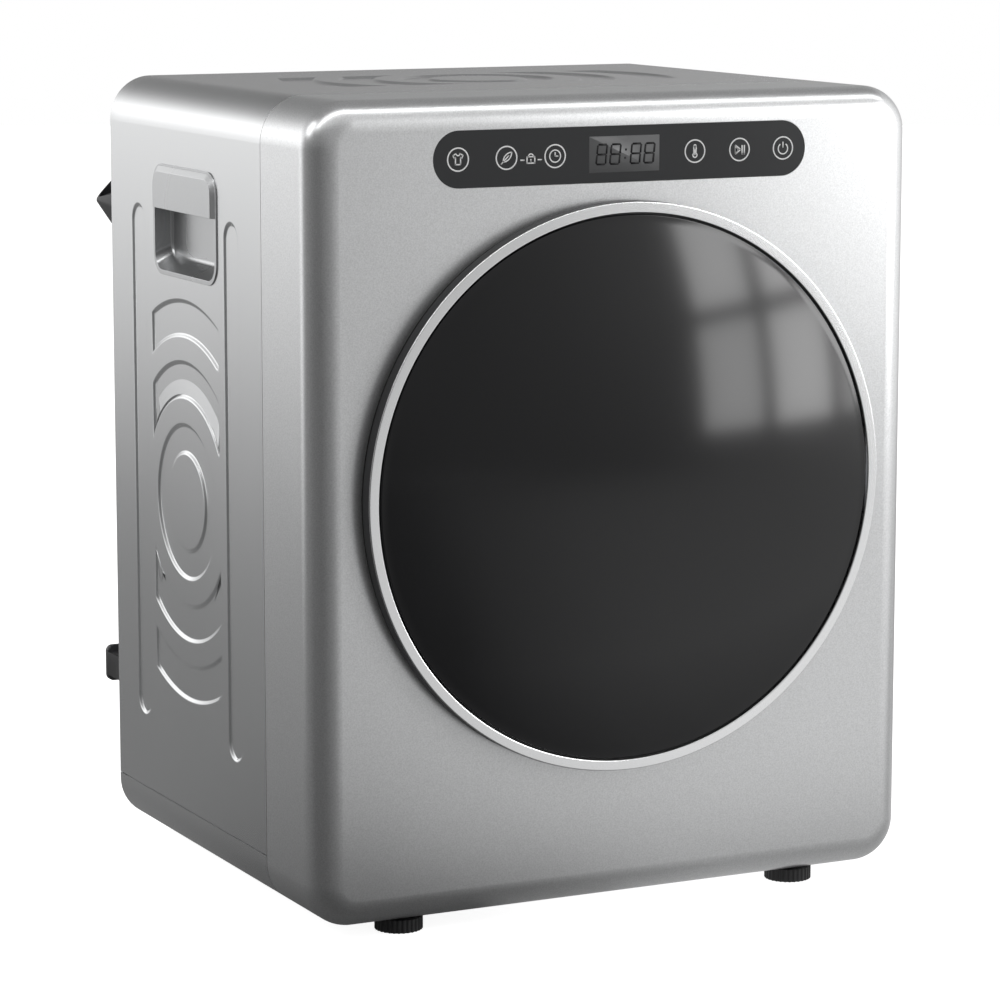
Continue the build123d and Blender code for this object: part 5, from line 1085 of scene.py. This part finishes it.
outer_edge = LENS_R - LENS_EDGE
profile = [(outer_edge * i / 40, dome_y(outer_edge * i / 40)) for i in range(41)]
profile += arc_points((outer_edge, dome_y(outer_edge) + LENS_EDGE), LENS_EDGE, -78, 0, 6)
profile += [(LENS_R, LENS_HIGH.y), (LENS_R - LENS_WALL, LENS_HIGH.y)]
inner_edge = LENS_R - LENS_WALL
inner_radii = [inner_edge * (1 - i / 12) for i in range(13)]
profile += [(radius, dome_y(radius) + LENS_WALL) for radius in inner_radii]
bm = spun(profile, steps=192, closed=False)
to_piece(
    "door_lens_dome",
    bm,
    BLACK_GLASS,
    body="door",
    replaces=["door_lens"],
    crisp=50,
)

# %% [markdown]
# Behind the lens, the inner frame carries the bowl that reaches into the drum. The gasket is a
# soft rubber bead: a D shape that the closed door just touches.

# %% Turn the gasket and soften the door's inner pieces
SEAL_LOW, SEAL_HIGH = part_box("door_seal")
SEAL_OUT = (SEAL_HIGH.z - SEAL_LOW.z) / 2
SEAL_IN = 0.1843
seal_mid, seal_half = (SEAL_OUT + SEAL_IN) / 2, (SEAL_OUT - SEAL_IN) / 2
profile = [(SEAL_IN, SEAL_HIGH.y), (SEAL_OUT, SEAL_HIGH.y)]
profile += arc_points((seal_mid, SEAL_LOW.y + seal_half), seal_half, 0, -180, 11)
bm = spun(profile, steps=160)
to_piece("door_gasket", bm, RUBBER, replaces=["door_seal"])
softened("door_inner_frame", BLACK_PLASTIC, 0.0004, body="door")
softened("door_bowl", SMOKE_PLASTIC, 0.0, body="door")

# %% [markdown]
# ## Touch panel
#
# The panel is a pill of dark acrylic that sits in its recess with a hairline gap. The keys are
# printed on it: a thin ring with a simple sign inside. No words are drawn, so each sign speaks
# for itself. The middle window shows plain digits.


# %% Extrude the touch panel
bm = bmesh.new()
SLACK = 0.0002
plate(
    bm,
    0.0,
    PILL_Z,
    PILL_WIDTH - 2 * SLACK,
    PILL_HEIGHT - 2 * SLACK,
    (PILL_HEIGHT - 2 * SLACK) * ROUND_END,
    PILL_HIGH.y,
    segments=24,
)
slab = bmesh.ops.extrude_face_region(bm, geom=list(bm.faces))["geom"]
raised = only(slab, bmesh.types.BMVert)
bmesh.ops.translate(bm, verts=raised, vec=(0.0, PILL_LOW.y - PILL_HIGH.y, 0.0))
bmesh.ops.recalc_face_normals(bm, faces=bm.faces)
touch_panel = to_piece(
    "touch_panel_slab", bm, PANEL_GLASS, replaces=["control_lens"], crisp=50
)
soften(touch_panel, 0.0004, segments=3, angle=60.0)
flat_sides(touch_panel)


# %% Draw flat marks: bars, rings and arcs
def bar(bm, start, end, width, y, pointed=0.0):
    """Flat bar between two points of the front plane."""
    run = Vector((end[0] - start[0], 0.0, end[1] - start[1]))
    centre = Vector(((start[0] + end[0]) / 2, y, (start[1] + end[1]) / 2))
    place = (
        Matrix.Translation(centre)
        @ Matrix.Rotation(-math.atan2(run.z, run.x), 4, "Y")
        @ Matrix.Rotation(math.pi / 2, 4, "X")
        @ Matrix.Diagonal((run.length, width, 1.0, 1.0))
    )
    made = bmesh.ops.create_grid(bm, x_segments=1, y_segments=1, size=0.5, matrix=place)
    if pointed > 0.0:
        round_off(bm, made["verts"], pointed, 1, "VERTICES", clamp=False)


def arc_mark(bm, x, z, radius, width, y, start=0.0, end=360.0, steps=40):
    """Flat ring or arc, swept anticlockwise as seen from the front."""
    a = math.radians(start)
    way = Vector((math.cos(a), 0.0, math.sin(a)))
    centre = Vector((x, y, z))
    ends = [bm.verts.new(centre + way * (radius + k * width / 2)) for k in (-1, 1)]
    edge = bm.edges.new(ends)
    whole = abs(end - start) >= 360.0
    bmesh.ops.spin(
        bm,
        geom=ends + [edge],
        cent=centre,
        axis=(0.0, -1.0, 0.0),
        angle=math.radians(end - start),
        steps=steps,
        use_merge=whole,
    )


def polyline(bm, points, width, y):
    for start, end in zip(points, points[1:]):
        bar(bm, start, end, width, y)
        arc_mark(bm, end[0], end[1], width / 4, width / 2, y, steps=8)


# %% [markdown]
# Each sign is drawn about its key's centre in millimetres, from left to right: a shirt, a leaf,
# a padlock between two dashes, a clock, a thermometer, play and pause, and power.

# %% Draw the signs of the keys
MM = 0.001
MARK_Y = PILL_LOW.y - 0.00004
STROKE = 0.95 * MM
KEYS = (-133.0, -94.5, -55.5, 59.5, 97.0, 134.0)
bm = bmesh.new()


def sign(x_mm, points, width=STROKE):
    polyline(bm, [((x_mm + px) * MM, PILL_Z + pz * MM) for px, pz in points], width, MARK_Y)


def sign_arc(x_mm, px, pz, radius, start=0.0, end=360.0, width=STROKE, steps=24):
    arc_mark(
        bm,
        (x_mm + px) * MM,
        PILL_Z + pz * MM,
        radius * MM,
        width,
        MARK_Y,
        start=start,
        end=end,
        steps=steps,
    )


for key in KEYS:
    sign_arc(key, 0.0, 0.0, 8.2, width=1.05 * MM, steps=64)
shirt = [(-1.5, 4.3), (-4.0, 2.9), (-3.0, 0.9), (-2.0, 1.5), (-2.0, -3.6), (2.0, -3.6)]
shirt += [(2.0, 1.5), (3.0, 0.9), (4.0, 2.9), (1.5, 4.3)]
sign(KEYS[0], shirt)
sign_arc(KEYS[0], 0.0, 4.3, 1.5, start=180.0, end=360.0, steps=12)
sign_arc(KEYS[1], 4.1, -2.9, 6.8, start=90.0, end=180.0, steps=14)
sign_arc(KEYS[1], -2.7, 3.9, 6.8, start=-90.0, end=0.0, steps=14)
sign(KEYS[1], [(-4.4, -4.6), (1.7, 1.5)])
sign(-75.0, [(-3.1, 0.2), (3.1, 0.2), (3.1, -4.4), (-3.1, -4.4), (-3.1, 0.2)])
sign_arc(-75.0, 0.0, 0.2, 2.0, start=0.0, end=180.0, steps=14)
sign(-75.0, [(0.0, -1.4), (0.0, -2.8)])
sign(-75.0, [(-8.4, -2.1), (-5.4, -2.1)])
sign(-75.0, [(5.4, -2.1), (8.4, -2.1)])
sign_arc(KEYS[2], 0.0, 0.0, 4.4)
sign(KEYS[2], [(0.0, 2.9), (0.0, 0.0), (2.2, 0.0)])
sign_arc(KEYS[3], 0.0, -2.9, 1.7, start=125.0, end=415.0)
sign(KEYS[3], [(-1.0, -1.4), (-1.0, 3.6)])
sign(KEYS[3], [(1.0, -1.4), (1.0, 3.6)])
sign_arc(KEYS[3], 0.0, 3.6, 1.0, start=0.0, end=180.0, steps=12)
sign(KEYS[3], [(0.0, -2.9), (0.0, 1.2)], width=1.1 * MM)
sign(KEYS[4], [(-3.4, 3.2), (-3.4, -3.2), (1.0, 0.0), (-3.4, 3.2)])
for solid in ((-3.0, 1.6), (-2.6, 1.0), (-2.0, 0.6)):
    sign(KEYS[4], [(solid[0] + 0.2, solid[1]), (solid[0] + 0.2, -solid[1])], width=1.4 * MM)
sign(KEYS[4], [(2.2, 3.2), (2.2, -3.2)], width=1.1 * MM)
sign(KEYS[4], [(4.1, 3.2), (4.1, -3.2)], width=1.1 * MM)
sign_arc(KEYS[5], 0.0, -0.4, 4.0, start=125.0, end=415.0, steps=36)
sign(KEYS[5], [(0.0, 4.6), (0.0, 0.6)])
bmesh.ops.recalc_face_normals(bm, faces=bm.faces)
icons = to_piece("key_signs", bm, ICON_WHITE)
print("signs drawn on", len(KEYS), "keys")

# %% [markdown]
# The display shows four slanted digits with every segment on, as a seven segment display does
# in its test, with a colon between the pairs. Each segment is a bar with pointed ends.

# %% Set the display window and its digits
DISPLAY_X = 1.0
DIGIT_HIGH, DIGIT_WIDE, SEGMENT = 14.2, 7.6, 1.5
SLANT = 0.11
WINDOW_SIZE = (0.0576, 0.0262)
WINDOW_CORNER = 0.0004
LAYER, FILM = 0.00001, 0.00003
SEGMENT_TIP = 0.0005
COLON_DOT = 0.0015
bm = bmesh.new()
plate(bm, DISPLAY_X * MM, PILL_Z, *WINDOW_SIZE, WINDOW_CORNER, MARK_Y + LAYER, segments=4)
window_piece = to_piece("display_window", bm, DISPLAY_GREY)
bm = bmesh.new()
DIGITS = (-18.6, -7.4, 9.4, 20.6)


def digit_point(x, z):
    return ((DISPLAY_X + x + SLANT * z) * MM, PILL_Z + z * MM)


gap = 0.25
for x in DIGITS:
    high, half = DIGIT_HIGH / 2, DIGIT_WIDE / 2
    for z in (-high, 0.0, high):
        ends = digit_point(x - half + gap, z), digit_point(x + half - gap, z)
        bar(bm, *ends, SEGMENT * MM, MARK_Y - LAYER, pointed=SEGMENT_TIP)
    for side in (-1, 1):
        for low, top in ((-high, 0.0), (0.0, high)):
            ends = digit_point(x + side * half, low + gap), digit_point(x + side * half, top - gap)
            bar(bm, *ends, SEGMENT * MM, MARK_Y - LAYER, pointed=SEGMENT_TIP)
for z in (-3.0, 3.0):
    spot = digit_point(1.0, z)
    plate(bm, *spot, COLON_DOT, COLON_DOT, 0.0, MARK_Y - LAYER)
bmesh.ops.recalc_face_normals(bm, faces=bm.faces)
digits = to_piece("display_digits", bm, DIGIT_BLACK)
for mark in (icons, window_piece, digits):
    thicken(mark, "film", FILM, offset=0.0)

# %% [markdown]
# ## Soft pieces inside
#
# Felt, belt, foam and net are soft, so they get forms of their own: felt rings with round
# shoulders, a belt and foam pads with rounded edges, and a woven net in the lint filter.

# %% Turn the felt rings
felt_points = [v.co for v in frame["nodes"]["drum_felts"].data.vertices]
for hand, side in (("front", -1), ("rear", 1)):
    ring = [(math.hypot(p.x, p.z - DOOR_Z), p.y) for p in felt_points if p.y * side > 0]
    inner, outer = min(r for r, _ in ring), max(r for r, _ in ring)
    low, high = min(y for _, y in ring), max(y for _, y in ring)
    soft = 0.3 * min(outer - inner, high - low)
    profile = arc_points((inner + soft, low + soft), soft, 180, 270, 6)
    profile += arc_points((outer - soft, low + soft), soft, 270, 360, 6)
    profile += arc_points((outer - soft, high - soft), soft, 0, 90, 6)
    profile += arc_points((inner + soft, high - soft), soft, 90, 180, 6)
    bm = spun(profile, steps=160)
    covers = ["drum_felts"] if side < 0 else []
    to_piece(f"felt_ring_{hand}", bm, FELT, replaces=covers)

# %% Round the belt and the pads
softened("drum_belt", RUBBER, 0.0006, segments=3, angle=50.0)
softened("touch_pads", FOAM, 0.0009, segments=3, angle=50.0)

# %% Weave the lint net
NET_PITCH = 0.0018
net_points = [v.co for v in frame["nodes"]["lint_mesh"].data.vertices]
net_y = sum(p.y for p in net_points) / len(net_points)
bm = bmesh.new()
for side in (-1, 1):
    half = [p for p in net_points if p.x * side > 0]
    left, right = min(p.x for p in half), max(p.x for p in half)
    low, high = min(p.z for p in half), max(p.z for p in half)
    place = Matrix.Translation(((left + right) / 2, net_y, (low + high) / 2))
    size = Matrix.Diagonal((right - left, high - low, 1.0, 1.0))
    turn = Matrix.Rotation(math.pi / 2, 4, "X") @ size
    across, up = round((right - left) / NET_PITCH), round((high - low) / NET_PITCH)
    bmesh.ops.create_grid(bm, x_segments=across, y_segments=up, size=0.5, matrix=place @ turn)
net = to_piece("lint_net", bm, NET, body="lint_filter", replaces=["lint_mesh"])
threads = net.modifiers.new("threads", "WIREFRAME")
threads.thickness = 0.0004
threads.use_even_offset = False

# %% [markdown]
# ## Studio
#
# A plain pale floor under an even sky, and soft lamps. The sky is white wherever the camera,
# a reflection or a clear piece looks straight at it, and gentler as a light, so that a colour
# renders about as it is written. The floor is pale and keeps the shadow of the dryer.

# %% Sky
scene = bpy.context.scene
SKY_LIGHT = 0.50
FLOOR_GLOW = 0.90


def straight_look(tree):
    """1 where the camera, a reflection or a clear piece looks, and 0 for light."""
    path = tree.nodes.new("ShaderNodeLightPath")
    value = path.outputs["Is Camera Ray"]
    for ray in ("Is Glossy Ray", "Is Transmission Ray"):
        value = maths(tree, "MAXIMUM", value, path.outputs[ray])
    return value


sky = bpy.data.worlds.new("even_sky")
scene.world = sky
sky.use_nodes = True
tree = sky.node_tree
backdrop = tree.nodes["Background"]
backdrop.inputs["Color"].default_value = (1.0, 1.0, 1.0, 1.0)
level = tree.nodes.new("ShaderNodeMapRange")
set_inputs(level, {"To Min": SKY_LIGHT, "To Max": 1.0})
tree.links.new(straight_look(tree), level.inputs["Value"])
tree.links.new(level.outputs["Result"], backdrop.inputs["Strength"])
print("sky light", SKY_LIGHT)


# %% Floor
def stage_piece(name, bm, material):
    """Floor or card of the studio, made as a plain object with one material."""
    made = new_object(name, bm, material)
    return made


floor_paint, tree = node_material("floor_white")
matt = tree.nodes["Principled BSDF"]
set_inputs(matt, {"Roughness": 0.9, "Specular IOR Level": 0.1})
set_inputs(matt, {"Base Color": (0.80, 0.80, 0.80, 1.0), "Emission Color": (1.0, 1.0, 1.0, 1.0)})
own_light = maths(tree, "MULTIPLY", straight_look(tree), FLOOR_GLOW)
tree.links.new(own_light, matt.inputs["Emission Strength"])
bm = bmesh.new()
bmesh.ops.create_circle(bm, cap_ends=True, segments=64, radius=9.0)
stage_piece("studio_floor", bm, floor_paint)
print("floor glow", FLOOR_GLOW)


# %% [markdown]
# A lamp is described by where it stands, what it looks at, how large it is and how bright its
# face is. A large lamp close by gives soft edges, like the big boxes in a product studio. The
# key lamp isn't seen in reflections. The panes to the right are seen only there: the domed lens
# needs a window to mirror.


# %% Lamps
HEART = (0.0, 0.0, 0.33)


def lamp(name, place, width, height, strength, target=HEART, diffuse=True, mirrored=True):
    """Soft rectangular lamp, with its strength as the brightness of its face."""
    data = bpy.data.lights.new(name, "AREA")
    data.shape = "RECTANGLE"
    data.size, data.size_y = width, height
    data.energy = strength * width * height * math.pi
    light = bpy.data.objects.new(name, data)
    light.location = place
    aim = Vector(target) - Vector(place)
    light.rotation_euler = aim.to_track_quat("-Z", "Y").to_euler()
    light.visible_camera = False
    light.visible_diffuse = diffuse
    light.visible_glossy = mirrored
    scene.collection.objects.link(light)
    return light


lamp("key_right_front", (1.5, -2.2, 2.3), 1.3, 0.9, 3.0, mirrored=False)
lamp("fill_left_high", (-2.4, 0.6, 2.2), 1.2, 1.2, 3.0)
PANE = (0.46, 0.62)
PANE_GAP = 0.10
PANE_TARGET = (0.05, -0.2, 0.45)
PANE_SHINE = ((5.0, 6.5, 6.0), (7.0, 7.5, 6.0), (4.0, 5.0, 4.0))
for column, shines in enumerate(PANE_SHINE):
    for row, shine in enumerate(shines):
        place = (1.80 + 0.40 * column, -2.22 + 0.40 * column, 0.55 + (PANE[1] + PANE_GAP) * row)
        lamp(f"window_pane_{column}_{row}", place, *PANE, shine, target=PANE_TARGET, diffuse=False)

# %% [markdown]
# Metal looks like what stands round it. So a screen goes all round the dryer, seen only in
# reflections: bright behind to the left and on the right, and dark in front to the left. Its
# brightness is written as a table of compass directions, with one column each for the floor
# near the dryer, low down, eye level and high up. Compass 0 is behind the dryer and +90 is on
# its right. The roof has one bright line, with an even ceiling in front of it.

# %% Brightness round the studio
SCREEN_R = 3.5
SCREEN_TOP = 3.2
SCREEN_FOOT = 0.01
SCREEN_ROWS = 8
COMPASS = (
    (-180, 0.50, 0.36, 0.40, 0.40),
    (-171, 0.24, 0.25, 0.45, 0.45),
    (-150, 0.12, 0.18, 0.30, 0.35),
    (-132, 0.06, 0.08, 0.20, 0.30),
    (-110, 0.10, 0.10, 0.20, 0.30),
    (-86, 0.14, 0.20, 0.30, 0.35),
    (-72, 0.17, 0.22, 0.40, 0.50),
    (-60, 0.20, 0.50, 1.00, 0.60),
    (-49, 0.22, 2.20, 2.20, 0.90),
    (-40, 0.24, 1.00, 2.20, 0.80),
    (-26, 0.24, 0.72, 2.50, 0.50),
    (-12, 0.24, 0.70, 1.60, 0.35),
    (-4, 0.24, 0.55, 0.80, 0.25),
    (5, 0.30, 0.40, 0.40, 0.22),
    (12, 0.30, 0.40, 0.32, 0.20),
    (26, 0.30, 0.48, 0.36, 0.30),
    (45, 0.30, 0.60, 0.50, 0.45),
    (70, 0.40, 0.90, 0.90, 0.80),
    (96, 0.60, 1.60, 1.50, 1.20),
    (112, 0.80, 1.30, 1.30, 1.20),
    (125, 0.84, 0.90, 1.05, 1.00),
    (138, 0.88, 0.70, 0.90, 0.85),
    (154, 0.86, 0.48, 0.75, 0.80),
    (165, 0.76, 0.42, 0.55, 0.60),
    (180, 0.50, 0.36, 0.40, 0.40),
)
LEVELS = (0.0, 1.2, 2.1)
ROOF_LINE = 6.0
LINE_REAR, LINE_FRONT = (0.45, 0.60), (-0.95, -0.80)
CEILING_FROM = (0.75, 0.95)
CEILING_DIM, CEILING_ADDED = 0.28, 0.52
FOOT_SHADE = 0.45


def between(value, low, high):
    return min(max((value - low) / (high - low), 0.0), 1.0)


def row_at(place):
    """Row of the table for the compass direction of a point."""
    way = math.degrees(math.atan2(place.x, place.y))
    for before, after in zip(COMPASS, COMPASS[1:]):
        if before[0] <= way <= after[0]:
            t = between(way, before[0], after[0])
            return [a + t * (b - a) for a, b in zip(before[1:], after[1:])]
    return COMPASS[0][1:]


def screen_glow(place):
    """Brightness of the screen at a point, between the rows and the heights of the table."""
    _, low, middle, high = row_at(place)
    if place.z < LEVELS[1]:
        return low + between(place.z, LEVELS[0], LEVELS[1]) * (middle - low)
    return middle + between(place.z, LEVELS[1], LEVELS[2]) * (high - middle)


def floor_glow(place):
    """Brightness of the floor in reflections: darkest right at the foot of the front."""
    near, low, _, _ = row_at(place)
    far = between(math.hypot(place.x, place.y), 0.3, SCREEN_R) ** 2.5
    in_front = between(FACE_Y - place.y, 0.04, 0.34) if place.y < FACE_Y else 1.0
    near *= FOOT_SHADE + (1.0 - FOOT_SHADE) * in_front
    return near + far * (low - near)


def roof_glow(place):
    """Brightness overhead: dim behind, one bright line and an even ceiling in front."""
    line = between(place.y, *LINE_FRONT) * between(-place.y, *LINE_REAR)
    front = between(-place.y, *CEILING_FROM)
    return CEILING_DIM + CEILING_ADDED * front + ROOF_LINE * line


# %% Build the screen, its roof and the floor's twin
def glowing_cloth(name):
    material, tree = node_material(name)
    nodes, links = tree.nodes, tree.links
    nodes.remove(nodes["Principled BSDF"])
    painted = nodes.new("ShaderNodeAttribute")
    painted.attribute_name = "glow"
    shine = nodes.new("ShaderNodeEmission")
    links.new(painted.outputs["Fac"], shine.inputs["Strength"])
    links.new(shine.outputs[0], nodes["Material Output"].inputs["Surface"])
    return material


def reflected_only(name, bm, glow):
    """Card that only reflections see, with its brightness painted on its points."""
    layer = bm.verts.layers.float.new("glow")
    for vert in bm.verts:
        vert[layer] = glow(vert.co)
    made = stage_piece(name, bm, glowing_cloth(name + "_cloth"))
    made.visible_camera = False
    made.visible_diffuse = False
    made.visible_shadow = False
    made.visible_transmission = False
    return made


bm = bmesh.new()
foot = bm.verts.new((SCREEN_R, 0.0, SCREEN_FOOT))
bmesh.ops.spin(
    bm, geom=[foot], cent=(0, 0, 0), axis=(0, 0, 1), angle=math.tau, steps=180, use_merge=True
)
rim = list(bm.edges)
for step in range(SCREEN_ROWS):
    lifted, rim = extrude_rim(bm, rim)
    bmesh.ops.translate(bm, verts=lifted, vec=(0.0, 0.0, SCREEN_TOP / SCREEN_ROWS))
reflected_only("studio_screen", bm, screen_glow)
bm = bmesh.new()
at_top = Matrix.Translation((0.0, 0.0, SCREEN_FOOT + SCREEN_TOP))
bmesh.ops.create_grid(bm, x_segments=2, y_segments=140, size=SCREEN_R, matrix=at_top)
reflected_only("studio_roof", bm, roof_glow)
bm = bmesh.new()
on_floor = Matrix.Translation((0.0, 0.0, 0.0005))
bmesh.ops.create_grid(bm, x_segments=64, y_segments=64, size=SCREEN_R, matrix=on_floor)
reflected_only("studio_floor_twin", bm, floor_glow)
print("screen radius", SCREEN_R, "height", SCREEN_TOP)

# %% [markdown]
# ## Camera
#
# A long lens from the front left, a little above the dryer.

# %% Camera
view = bpy.data.cameras.new("camera")
view.lens = 139.45
view.sensor_width = 36.0
camera = bpy.data.objects.new("camera", view)
camera.location = (-1.3251, -2.6831, 0.7704)
camera.rotation_euler = (math.pi / 2 - 0.161, 0.0, -0.458)
scene.collection.objects.link(camera)
scene.camera = camera
scene.view_settings.view_transform = "Standard"
print("camera at", tuple(round(c, 3) for c in camera.location))

# %% [markdown]
# ## Finish
#

# %% Finish
import json
